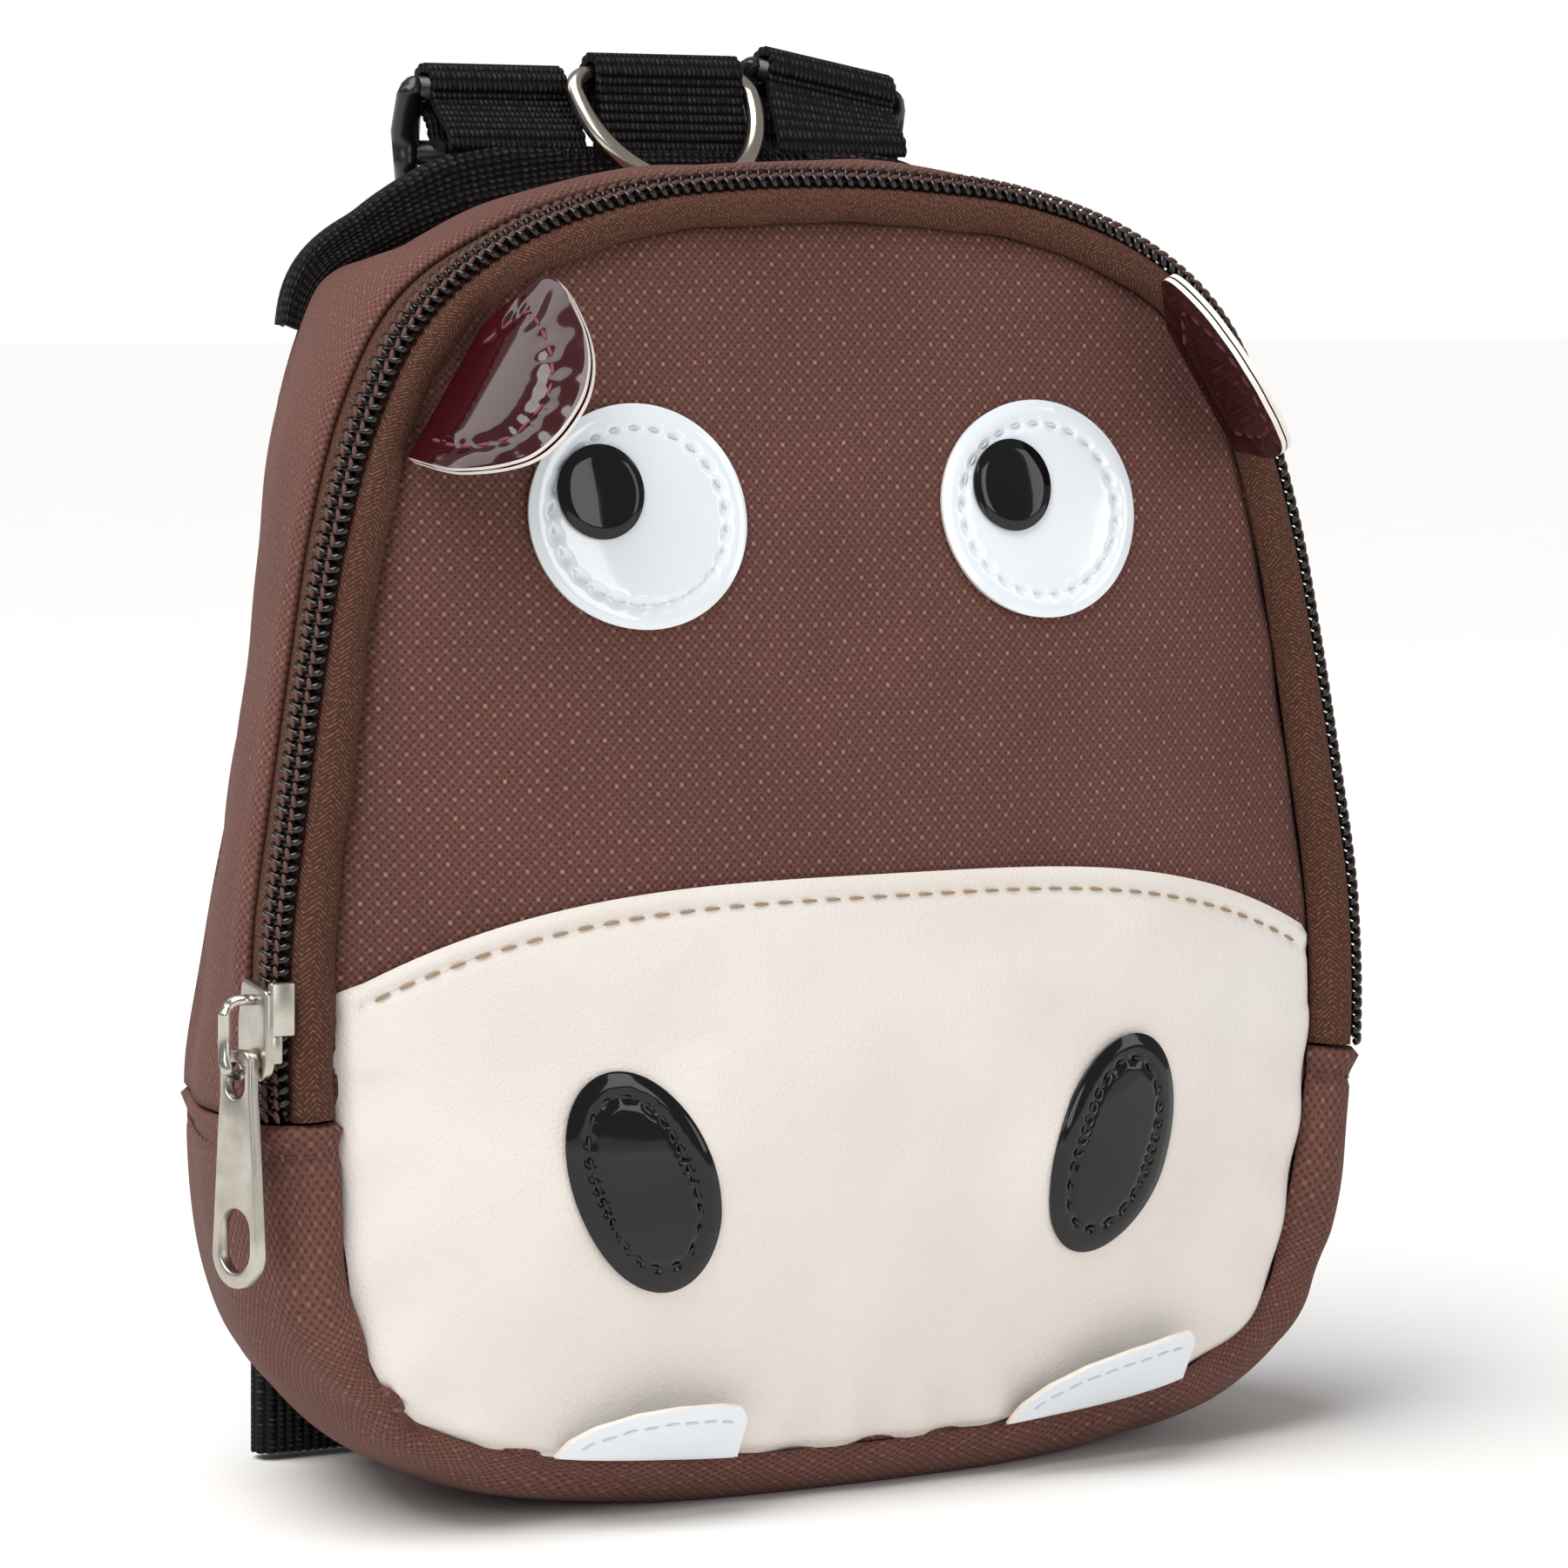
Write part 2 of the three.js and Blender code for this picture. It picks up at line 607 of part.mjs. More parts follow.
function makeFace() {
  const muzzle = frontPatch({ x: 0, z: MUZZLE_CENTRE_Z }, muzzleRadius, DOME_GAP,
    MUZZLE_THICK, muzzleAngles(), [0, 0.28, 0.5, 0.69, 0.85, 1]);
  addPiece("muzzle", muzzle, "cream");
  const onCloth = DOME_GAP;
  const onMuzzle = DOME_GAP + MUZZLE_THICK + DOME_GAP;
  const onWhite = DOME_GAP + PATCH_THICK + GAP;
  for (const { name, sign } of SIDES) {
    const eye = { ...EYE_WHITE, x: EYE_WHITE[name] };
    const white = frontPatch(eye, ellipseRadius(eye), onCloth, PATCH_THICK, turnsOf(28),
      [0, 0.6, 1]);
    addPiece(`eye_white_${name}`, white, "white");
    const seat = { x: PUPIL[name], z: PUPIL.z };
    const pupil = frontPatch(seat, ellipseRadius(PUPIL), onWhite, PATCH_THICK, turnsOf(20),
      [0, 0.6, 1]);
    addPiece(`pupil_${name}`, pupil, "black");
    const oval = { ...NOSTRIL, x: NOSTRIL[name], turn: -sign * NOSTRIL.turn };
    const nostril = frontPatch(oval, ellipseRadius(oval), onMuzzle, PATCH_THICK, turnsOf(28),
      [0, 0.6, 1]);
    addPiece(`nostril_${name}`, nostril, "black");
  }
}

// Ears stand forward out of the seam, each a leaf with a slight curl.
function makeEar(name, sign) {
  const foot = new THREE.Vector3(sign * EAR_FOOT.x, seamY(EAR_FOOT.z), EAR_FOOT.z);
  const top = new THREE.Vector3(sign * EAR_TOP.x, seamY(EAR_TOP.z), EAR_TOP.z);
  const along = top.clone().sub(foot);
  const length = along.length();
  along.normalize();
  const out = new THREE.Vector3(-sign * EAR_LEAN[name], -1, 0);
  out.addScaledVector(along, -out.dot(along)).normalize();
  const face = new THREE.Vector3().crossVectors(along, out).normalize();
  const knots = EAR_LEAF.map((row) => new THREE.Vector2(row.along, row.reach));
  const rim = new THREE.SplineCurve(knots);
  const middle = new THREE.Vector2(0.52, 0.3);
  const place = (u, share, lift) => {
    const flat = middle.clone().lerp(u < 1 ? rim.getPoint(u) : knots[knots.length - 1], share);
    const curl = EAR_CURL * Math.sin(Math.PI * THREE.MathUtils.clamp(flat.y, 0, 1));
    return foot.clone()
      .addScaledVector(along, flat.x * length)
      .addScaledVector(out, Math.max(flat.y, 0.03) * EAR_REACH + 0.9)
      .addScaledVector(face, lift + sign * curl * 0.5);
  };
  const columns = spread(0, 1, 18);
  return shell((u, s) => place(u, s, EAR_THICK / 2), (u, s) => place(u, s, -EAR_THICK / 2),
    columns, [0, 0.6, 1], true);
}

// Teeth stand up out of the bottom seam and lean forward over the muzzle.
function makeTooth(name) {
  const { from, to, up } = TOOTH_SPAN[name];
  const lean = new THREE.Vector3(0, -TOOTH.lean, Math.sqrt(1 - TOOTH.lean * TOOTH.lean));
  const surface = (lift) => (along, share) => {
    const x = THREE.MathUtils.lerp(from, to, along);
    const rise = up * tableValue(TOOTH_RISE, "along", "rise", along) * share;
    const footZ = bottomSeamZ(x) + 0.4;
    const bow = TOOTH.bow * (rise / up) * (1 - (2 * along - 1) ** 2);
    const y = seamY(footZ) - DOME_GAP - MUZZLE_THICK - DOME_GAP - lift;
    return new THREE.Vector3(x, y - bow, footZ).addScaledVector(lean, rise);
  };
  const columns = [...spread(0, 0.93, 11), 0.97, 0.99, 1];
  return shell(surface(TOOTH.thick), surface(0), columns, [0, 0.5, 1], false);
}

function bottomSeamZ(x) {
  let low = 0;
  let high = 0.2;
  for (let i = 0; i < 40; i++) {
    const middle = (low + high) / 2;
    const reach = Math.abs(frontSeam.getPoint(wrapT(Math.sign(x) * middle)).x);
    if (reach < Math.abs(x)) low = middle;
    else high = middle;
  }
  return frontSeam.getPoint(wrapT(Math.sign(x) * low)).z;
}

// Zip chain: a swept oval on the corner of the bag.
function chainFrame(t) {
  const at = sideSkin(t, CHAIN_ROW);
  const up = sideNormal(t, CHAIN_ROW);
  const along = sideSkin(t + 0.002, CHAIN_ROW).sub(sideSkin(t - 0.002, CHAIN_ROW)).normalize();
  const across = new THREE.Vector3().crossVectors(up, along).normalize();
  return { at, across, up: new THREE.Vector3().crossVectors(along, across).normalize(), along };
}

// The slider and its pull are built about the left end of the chain, x across and z up it.
function sliderFrame() {
  let low = 0.5;
  let high = 1 - ZIP_T;
  for (let i = 0; i < 40; i++) {
    const middle = (low + high) / 2;
    if (sideSkin(middle, CHAIN_ROW).z > SLIDER_Z) low = middle;
    else high = middle;
  }
  const { at, up } = chainFrame(low);
  const above = chainFrame(low - 0.008).at.sub(chainFrame(low + 0.008).at).normalize();
  const across = new THREE.Vector3().crossVectors(above, up).normalize();
  const outward = new THREE.Vector3().crossVectors(across, above).normalize();
  const seat = new THREE.Matrix4().makeBasis(across, outward.clone().negate(), above);
  return seat.setPosition(at).multiply(new THREE.Matrix4().makeRotationZ(SLIDER.turn));
}

function box(wide, deep, tall, x, y, z) {
  return toSolid(new THREE.BoxGeometry(wide, deep, tall).translate(x, y, z));
}

function makeSlider() {
  const { long, wide, plate, above } = SLIDER;
  const shape = new THREE.Shape();
  shape.moveTo(-wide / 2, -long / 2);
  shape.lineTo(wide / 2, -long / 2);
  shape.lineTo(wide / 2, long * 0.1);
  shape.quadraticCurveTo(wide / 2, long / 2, wide * 0.28, long / 2);
  shape.lineTo(-wide * 0.28, long / 2);
  shape.quadraticCurveTo(-wide / 2, long / 2, -wide / 2, long * 0.1);
  shape.closePath();
  const cover = new THREE.ExtrudeGeometry(shape, {
    depth: plate, bevelEnabled: false, curveSegments: 5,
  });
  cover.rotateX(Math.PI / 2).translate(0, -above, 0);
  let solid = toSolid(cover);
  for (const { side, deep, low, high, thick } of FLANGES) {
    const x = side * (wide / 2 - thick / 2 - 0.02);
    const join = 0.2;
    solid = solid.add(box(thick, deep + join, high - low, x, -above + (deep - join) / 2,
      (low + high) / 2));
  }
  const top = above + plate + BAIL.rise;
  const { low, high: head, corner } = BAIL;
  const bend = spread(0, Math.PI / 2, 3).map((a) => [
    corner * (1 - Math.cos(a)), corner * (1 - Math.sin(a))]);
  const path = [[low, -above - plate / 2], ...bend.map(([z, y]) => [low + z, y - top]),
    ...bend.reverse().map(([z, y]) => [head - z, y - top]), [head, -above - plate / 2]];
  const frames = path.map(([z, y], i) => {
    const a = path[Math.max(0, i - 1)];
    const b = path[Math.min(path.length - 1, i + 1)];
    const tangent = new THREE.Vector3(0, b[1] - a[1], b[0] - a[0]).normalize();
    const across = new THREE.Vector3(1, 0, 0);
    const up = new THREE.Vector3().crossVectors(across, tangent);
    return { at: new THREE.Vector3(0, y, z), across, up };
  });
  solid = solid.add(toSolid(sweep(frames, roundProfile(BAIL.half, BAIL.wire, 8))));
  return fromSolid(solid);
}

// Points of a round-ended slot, or of a disc where its ends meet.
function slotPoints(half, low, high, sides) {
  const turns = spread(0, Math.PI, sides);
  const top = turns.map((a) => new THREE.Vector2(half * Math.cos(a), high - half
    + half * Math.sin(a)));
  const foot = turns.map((a) => new THREE.Vector2(-half * Math.cos(a), low + half
    - half * Math.sin(a)));
  return [...top, ...foot];
}

function makePull() {
  const { long, wide, neck, thick, hole, holeLong, shoulder } = PULL;
  const top = 0.75;
  const end = top - long + wide / 2;
  const tip = spread(0, Math.PI, 9).map((a) => new THREE.Vector2(
    (wide / 2) * Math.cos(a), end - (wide / 2) * Math.sin(a)));
  const right = [[neck / 2 - 1.3, top], [neck / 2 - 0.4, top - 0.4], [neck / 2, top - 1.4],
    [neck / 2, -shoulder]].map(([x, y]) => new THREE.Vector2(x, y));
  const left = right.map((p) => new THREE.Vector2(-p.x, p.y)).reverse();
  const shape = new THREE.Shape([...left, ...right, ...tip]);
  shape.holes.push(new THREE.Path(slotPoints(hole, -0.75 - holeLong, -0.75, 5)));
  const eyeLow = top - long + PULL_EYE.fromEnd;
  shape.holes.push(new THREE.Path(slotPoints(PULL_EYE.wide / 2, eyeLow, eyeLow + PULL_EYE.tall, 6)));
  const tab = new THREE.ExtrudeGeometry(shape, {
    depth: thick - 0.5, bevelEnabled: true, bevelThickness: 0.25, bevelSize: 0.25,
    bevelOffset: -0.25, bevelSegments: 1,
  });
  tab.rotateX(Math.PI / 2).translate(0, (thick - 0.5) / 2, 0);
  return fromSolid(toSolid(tab));
}

function makeZip() {
  const frames = spread(ZIP_T + GAP_T, 1 - ZIP_T - GAP_T, 46).map(chainFrame);
  addPiece("zip_chain", sweep(frames, roundProfile(CHAIN.half, CHAIN.thick, 6)), "chain");
  const seat = sliderFrame();
  addPiece("zip_slider", makeSlider().applyMatrix4(seat), "nickel");
  const out = SLIDER.above + SLIDER.plate + PULL_PIVOT.out;
  const pull = makePull().rotateZ(PULL_PIVOT.turn)
    .translate(PULL_PIVOT.side, -out, PULL_PIVOT.up).applyMatrix4(seat);
  addPiece("zip_pull", pull, "nickel");
}

function makeBack() {
  const surface = (standing) => (t, share) => {
    const rim = backSeam.getPoint(t);
    const x = rim.x * share * 0.994;
    const z = CENTRE_Z + (rim.z - CENTRE_Z) * share * 0.994;
    return new THREE.Vector3(x, BACK_Y + GAP + standing + BACK_SWELL * (1 - share ** 3), z);
  };
  const columns = Array.from({ length: 44 }, (_, i) => i / 44);
  const back = shell(surface(CLOTH), surface(0), columns, [0, 0.4, 0.7, 0.88, 1], true);
  addPiece("back_panel", back, "brown");
}

// Band of webbing folded over the top of the back seam.
function makeBand() {
  const surface = (y) => (t, share) => {
    const ahead = backSeam.getPoint(t + 0.004);
    const behind = backSeam.getPoint(t - 0.004);
    const out = new THREE.Vector3(ahead.z - behind.z, 0, behind.x - ahead.x).normalize();
    const end = Math.min(t - BAND.from, BAND.to - t);
    const high = BAND.rise + BAND.crown * THREE.MathUtils.smoothstep(end, 0.04, 0.08);
    const rise = 0.7 + (high - 0.7) * Math.sin((Math.PI / 2) * Math.min(end / 0.055, 1)) * share;
    const point = backSeam.getPoint(t).addScaledVector(out, share ? rise + 0.3 : GAP);
    point.y = y;
    point.z = Math.min(point.z, BAND_TOP);
    return point;
  };
  const columns = spread(BAND.from, BAND.to, 26);
  const band = shell(surface(BAND.y), surface(BAND.y + BAND.thick), columns, [0, 0.5, 1], false);
  addPiece("top_band", band, "webbing");
}

// Path of a webbing loop that leaves the band, goes over a bar and comes back, as [y, z].
function loopPath(barY, barZ, barRadius) {
  const reach = barRadius + LOOP_PLAY + WEBBING / 2;
  const start = BAND_TOP + GAP;
  const front = BAND.y + 0.8;
  const rear = front + WEBBING + GAP;
  const over = [-0.15, 0.12, 0.38, 0.65, 0.92, 1.18, 1.45].map((a) => {
    const turn = Math.PI * (1 - a);
    return [barY + reach * Math.cos(turn), barZ + reach * Math.sin(turn)];
  });
  const half = (barZ - start) * 0.42;
  return [[front, start], [front + 0.1, start + 1.6], ...over, [rear + 1.4, start + half],
    [rear, start + 1.4], [rear, start]];
}

function makeLoops() {
  const centre = planeFrames(loopPath(RING_Y, RING_Z, RING.wire), CENTRE_LOOP_X);
  addPiece("loop_centre", sweep(centre, stripProfile(CENTRE_LOOP_WIDE, WEBBING)), "webbing");
  for (const { name, sign } of SIDES) {
    const frames = planeFrames(loopPath(LOCK_Y, LOCK_Z, LOCK.bar / 2), 0);
    const loop = sweep(frames, stripProfile(SIDE_LOOP_WIDE, WEBBING));
    addPiece(`strap_loop_${name}`, placeLoop(loop, sign), "webbing");
    addPiece(`ladder_lock_${name}`, makeLock().applyMatrix4(sidePlacing(sign)), "black");
  }
}

// A loop keeps its foot flat on the band and follows its lock's tilt higher up.
function placeLoop(loop, sign) {
  const spots = loop.getAttribute("position");
  const placing = sidePlacing(sign);
  for (let i = 0; i < spots.count; i++) {
    const flat = new THREE.Vector3().fromBufferAttribute(spots, i);
    const share = THREE.MathUtils.smoothstep(flat.z, BAND_TOP + GAP, LOCK_Z - 1);
    const tilted = flat.clone().applyMatrix4(placing);
    flat.x += sign * SIDE_LOOP_X;
    flat.lerp(tilted, share);
    spots.setXYZ(i, flat.x, flat.y, flat.z);
  }
  return loop;
}

// The right loop and its lock sit a little askew, as in the photo.
function sidePlacing(sign) {
  const foot = BAND_TOP + GAP;
  const turn = sign > 0 ? RIGHT_LOOP_TURN : 0;
  const rise = sign > 0 ? Math.sin(turn) * (SIDE_LOOP_WIDE / 2) : 0;
  return new THREE.Matrix4().makeTranslation(sign * SIDE_LOOP_X, 0, foot + rise)
    .multiply(new THREE.Matrix4().makeRotationY(turn))
    .multiply(new THREE.Matrix4().makeTranslation(0, 0, -foot));
}

function makeLock() {
  const { rail, bar, long, thick, lean } = LOCK;
  const inner = SIDE_LOOP_WIDE / 2 + GAP;
  let solid = null;
  const join = (piece) => {
    solid = solid ? solid.add(piece) : piece;
  };
  for (const sign of [-1, 1]) {
    const side = sweep(RAIL.map((row) => ({
      at: new THREE.Vector3(sign * (inner + (rail * row.wide) / 2), 0, bar / 2 - row.down * long),
      across: new THREE.Vector3(row.wide, 0, 0),
      up: new THREE.Vector3(0, 1, 0),
    })), roundProfile(rail / 2, thick / 2, 8));
    join(toSolid(side));
  }
  for (const drop of [0, long / 2 - bar / 2, long - bar]) {
    const round = sweep([-1, 1].map((end) => ({
      at: new THREE.Vector3(end * (inner + rail * 0.2), 0, -drop),
      across: new THREE.Vector3(0, 1, 0),
      up: new THREE.Vector3(0, 0, 1),
    })), roundProfile(bar / 2 - 0.05, bar / 2 - 0.05, 8));
    join(toSolid(round));
  }
  return fromSolid(solid).rotateX(lean).translate(0, LOCK_Y, LOCK_Z);
}

function makeRing() {
  const { wire, half, deep, x: middle, lean } = RING;
  const corner = 3;
  const knots = [];
  for (const a of spread(0, Math.PI, 20)) {
    knots.push([half * Math.cos(a), -corner - (deep - corner) * Math.sin(a)]);
  }
  for (const a of spread(0.12, 0.88, 3)) {
    const turn = (a * Math.PI) / 2;
    knots.push([-half + corner * (1 - Math.cos(turn)), -corner + corner * Math.sin(turn)]);
  }
  knots.push([-half * 0.4, 0], [half * 0.4, 0]);
  for (const a of spread(0.88, 0.12, 3)) {
    const turn = (a * Math.PI) / 2;
    knots.push([half - corner * (1 - Math.cos(turn)), -corner + corner * Math.sin(turn)]);
  }
  const curve = new THREE.CatmullRomCurve3(
    knots.map(([x, up]) => new THREE.Vector3(x, 0, up)), true, "centripetal");
  const frames = spread(0, 1, 36).slice(0, 36).map((u) => {
    const tangent = curve.getTangentAt(u);
    const across = new THREE.Vector3(0, 1, 0);
    return { at: curve.getPointAt(u), across, up: across.clone().cross(tangent).normalize() };
  });
  const ring = sweep(frames, roundProfile(wire, wire, 8), true);
  return ring.rotateX(-lean).translate(middle, RING_Y, RING_Z);
}

function makeStraps() {
  for (const { name, sign } of SIDES) {
    const low = TAB.inner + (TAB.outer - TAB.inner) / 2 - 0.6;
    const drop = LOCK.long - LOCK.bar;
    const barY = LOCK_Y + drop * Math.sin(LOCK.lean);
    const barZ = LOCK_Z - drop * Math.cos(LOCK.lean);
    const reach = LOCK.bar / 2 + LOOP_PLAY + WEBBING / 2;
    const over = [1, 0.75, 0.5, 0.25, 0].map((a) => [
      barY + reach * Math.cos(a * Math.PI), barZ + reach * Math.sin(a * Math.PI)]);
    const seatY = TAB.y + WEBBING + GAP + WEBBING / 2;
    const placing = sidePlacing(sign);
    const high = [[barY - reach, barZ - STRAP_TAIL], ...over, [barY + reach + 0.6, barZ - 3]]
      .map(([y, z]) => new THREE.Vector3(0, y, z).applyMatrix4(placing));
    const rest = [[26, 44, barZ - 18], [31, 54, 122], [38, 58, 88], [45, 52, 58],
      [low, 37, 42], [low, seatY + 1.2, 30], [low, seatY, 25], [low, seatY, 5]]
      .map(([x, y, z]) => new THREE.Vector3(sign * x, y, z));
    const curve = new THREE.CatmullRomCurve3([...high, ...rest], false, "centripetal");
    const frames = spread(0, 1, 28).map((t) => {
      const tangent = curve.getTangent(t);
      const turn = sign > 0 ? RIGHT_LOOP_TURN * (1 - THREE.MathUtils.smoothstep(t, 0.45, 0.7)) : 0;
      const level = new THREE.Vector3(Math.cos(turn), 0, -Math.sin(turn));
      const up = new THREE.Vector3().crossVectors(level, tangent).normalize();
      const across = new THREE.Vector3().crossVectors(tangent, up).normalize();
      return { at: curve.getPoint(t), across, up };
    });
    addPiece(`shoulder_strap_${name}`, sweep(frames, stripProfile(STRAP_WIDE, WEBBING)),
      "webbing");

    const { wide, inner, outer, y, foot } = TAB;
    const span = WEBBING + 2 * GAP;
    const mid = y + WEBBING + span / 2;
    const bend = (WEBBING + span) / 2;
    const turns = spread(-0.5, 0.5, 6).map((a) => [
      outer - bend - WEBBING / 2 + bend * Math.cos(a * Math.PI), mid + bend * Math.sin(a * Math.PI)]);
    const fold = [[inner, mid - bend], ...turns, [inner + 2, mid + bend]];
    const tabFrames = fold.map(([x, across], i) => {
      const a = fold[Math.max(0, i - 1)];
      const b = fold[Math.min(fold.length - 1, i + 1)];
      const tangent = new THREE.Vector3(sign * (b[0] - a[0]), b[1] - a[1], 0).normalize();
      const height = new THREE.Vector3(0, 0, 1);
      const up = new THREE.Vector3().crossVectors(height, tangent);
      return { at: new THREE.Vector3(sign * x, across, foot + wide / 2), across: height, up };
    });
    addPiece(`lower_tab_${name}`, sweep(tabFrames, stripProfile(wide, WEBBING)), "webbing");
  }
}

makeFront();
makeFace();
for (const { name, sign } of SIDES) {
  addPiece(`ear_${name}`, makeEar(name, sign), "maroon");
  addPiece(`tooth_${name}`, makeTooth(name), "white");
}
makeSides();
makeZip();
makeBack();
makeBand();
makeLoops();
addPiece("d_ring", makeRing(), "nickel");
makeStraps();

export default group;
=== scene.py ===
import math

import bmesh
import bpy
import numpy as np
from mathutils import Matrix, Vector


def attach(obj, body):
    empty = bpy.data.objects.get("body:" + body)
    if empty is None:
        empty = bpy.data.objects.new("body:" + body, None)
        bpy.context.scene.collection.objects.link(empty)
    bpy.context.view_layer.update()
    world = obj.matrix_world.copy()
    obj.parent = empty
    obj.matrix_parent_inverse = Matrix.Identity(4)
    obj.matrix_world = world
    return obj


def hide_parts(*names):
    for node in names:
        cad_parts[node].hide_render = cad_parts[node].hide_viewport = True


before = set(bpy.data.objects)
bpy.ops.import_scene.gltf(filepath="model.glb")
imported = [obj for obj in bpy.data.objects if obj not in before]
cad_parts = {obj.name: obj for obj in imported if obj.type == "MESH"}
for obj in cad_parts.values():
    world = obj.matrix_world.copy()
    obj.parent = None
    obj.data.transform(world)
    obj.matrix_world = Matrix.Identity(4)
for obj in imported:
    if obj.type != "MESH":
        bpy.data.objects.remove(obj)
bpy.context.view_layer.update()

MM = 0.001

# Body sizes in millimetres: x to the bag's right in the picture, y to the back, z up.
FRONT = {"half": 73, "height": 158.7, "foot": 6.8}
BACK = {"half": 74, "height": 165, "foot": 3, "y": 21, "swell": 2}
SEAM_Y = -27.9
SEAM_LEAN = 0.0568
CENTRE_Z = 68
DOME_POWER = 2.2
CLOTH = 1.2

# Seams from the foot to the top of one side: front up, front out, back up, back out as shares,
# and how far the side stands out of them in mm.
SEAMS = np.array([
    (0, 0, 0, 0, 8),
    (0.006, 0.35, 0.006, 0.35, 8),
    (0.03, 0.7, 0.03, 0.7, 6.4),
    (0.075, 0.875, 0.078, 0.88, 5.4),
    (0.15, 0.952, 0.155, 0.965, 8),
    (0.3, 1, 0.3, 0.995, 9.7),
    (0.42, 0.997, 0.43, 0.957, 9.7),
    (0.53, 0.966, 0.54, 0.907, 9.4),
    (0.64, 0.93, 0.655, 0.865, 9),
    (0.74, 0.89, 0.76, 0.845, 8.6),
    (0.83, 0.833, 0.86, 0.81, 8.1),
    (0.9, 0.753, 0.93, 0.74, 7.6),
    (0.95, 0.615, 0.962, 0.6, 7.3),
    (0.985, 0.4, 0.985, 0.4, 7.2),
    (0.997, 0.19, 0.997, 0.19, 7.2),
    (1, 0, 1, 0, 7.2),
])

# The side from the front seam to the back seam: deep and out for the sides, then for the foot.
SECTION = np.array([
    (0, 0, 0, 0),
    (-0.035, 0.22, 0, 0.2),
    (-0.04, 0.5, 0.015, 0.42),
    (-0.015, 0.7, 0.045, 0.6),
    (0.02, 0.83, 0.09, 0.75),
    (0.08, 0.94, 0.15, 0.88),
    (0.22, 1, 0.25, 0.98),
    (0.38, 0.96, 0.38, 1),
    (0.55, 0.8, 0.55, 0.84),
    (0.72, 0.53, 0.72, 0.58),
    (0.87, 0.24, 0.87, 0.28),
    (1, 0, 1, 0),
])
LAST_ROW = len(SECTION) - 1
FOOT_BLEND = (14, 40)
TAPE_ROWS = (0.05, 3.7)
CHAIN_ROW = 4
REAR_TAPE_ROWS = (4.25, 6.1)
GUSSET_ROWS = (5.7, 11)
LOWER_ROWS = (0.05, 11)
ZIP_END_Z = 54.4
CORNER = {1: (36, 14, -1.6, 0, 7.5), -1: (21, 17, 2.2, 1.1, 0)}  # z, reach, out, down, bulge
CORNER_BULGE = (20, 18)
FRONT_SWELL = np.array([(0, 9), (40, 12.5), (80, 11), (110, 8.5), (130, 6), (165, 4)])

# Pleats and dents: t round the bag, row across it, width in mm, rows, lift in mm.
PLEATS = [
    (0.895, 2.5, 3.5, 4, -1.5),
    (0.874, 2.5, 4, 3.5, 0.8),
    (0.058, 2, 3, 3, -1.2),
    (0.12, 2, 4, 3, -0.9),
    (0.815, 8, 9, 2.5, -1.1),
    (0.19, 8, 9, 2.5, -1.1),
    (0.6, 8, 7, 2, -0.9),
    (0.4, 8, 7, 2, -0.9),
    (0.47, 7.2, 13, 1.6, 1.2),
    (0.503, 9.3, 15, 1.1, -2.4),
]

# Small creases pressed into the side's cloth, in the same columns.
CREASES = [
    (0.61, 8.6, 3.2, 1.4, -0.9),
    (0.632, 8.2, 3, 1.6, 0.8),
    (0.655, 8.8, 3.4, 1.4, -0.8),
    (0.785, 9.5, 4, 1.5, -0.8),
    (0.835, 4, 4, 2, 0.7),
    (0.848, 4, 4, 2, -0.9),
    (0.861, 5, 4, 2, 0.8),
    (0.909, 1.2, 2.2, 1.3, -1),
    (0.925, 1.2, 2.2, 1.2, 0.8),
    (0.9445, 1, 2, 1.2, -1),
    (0.965, 1, 2.5, 1.2, 0.6),
    (0.0435, 1, 2.2, 1.2, -0.8),
    (0.134, 1, 2.4, 1.2, -0.8),
    (0.15, 1, 2.4, 1.2, 0.6),
]

# Face
PANEL_EDGE = 1.01
MUZZLE_EDGE = 1.003
MUZZLE = {"top": 82.7, "drop": 12.7, "power": 3.2, "z": 44}
MUZZLE_STAND = 1.45
EYE = {"left": -31.3, "right": 28.3, "z": 128.6, "wide": 15.2, "tall": 14.2}
PUPIL = {"left": -36.9, "right": 23.7, "z": 131.8, "wide": 6, "tall": 6}
NOSTRIL = {"left": -36, "right": 34, "z": 45.3, "wide": 9.3, "tall": 15.1, "turn": 0.4}

# Ears: a leaf in its own plane, along the seam and out of it.
EAR_FOOT = (62.3, 135.7)
EAR_TOP = (51.6, 152.2)
EAR_LEAN = {-1: 0.36, 1: 0.25}
EAR_REACH = 23.5
EAR_CURL = 2.2
EAR_LEAF = np.array([
    (0.02, 0.03), (0.0, 0.45), (0.16, 0.83), (0.42, 0.98), (0.78, 0.98), (1.12, 0.78),
    (1.42, 0.37), (1.2, 0.15), (1.0, 0.03),
])
EAR_MIDDLE = np.array((0.52, 0.3))

# Teeth: span along the seam, height, and the rise from the thin end to the square end.
TOOTH_SPAN = {"left": (-45.2, -19.4, 9), "right": (22, 49.3, 9.6)}
TOOTH_LEAN = 0.5
TOOTH_BOW = 1.6
TOOTH_RISE = np.array([
    (0, 0), (0.05, 0.3), (0.16, 0.58), (0.34, 0.83), (0.55, 0.96), (0.8, 1), (0.93, 0.94),
    (0.99, 0.7), (1, 0),
])

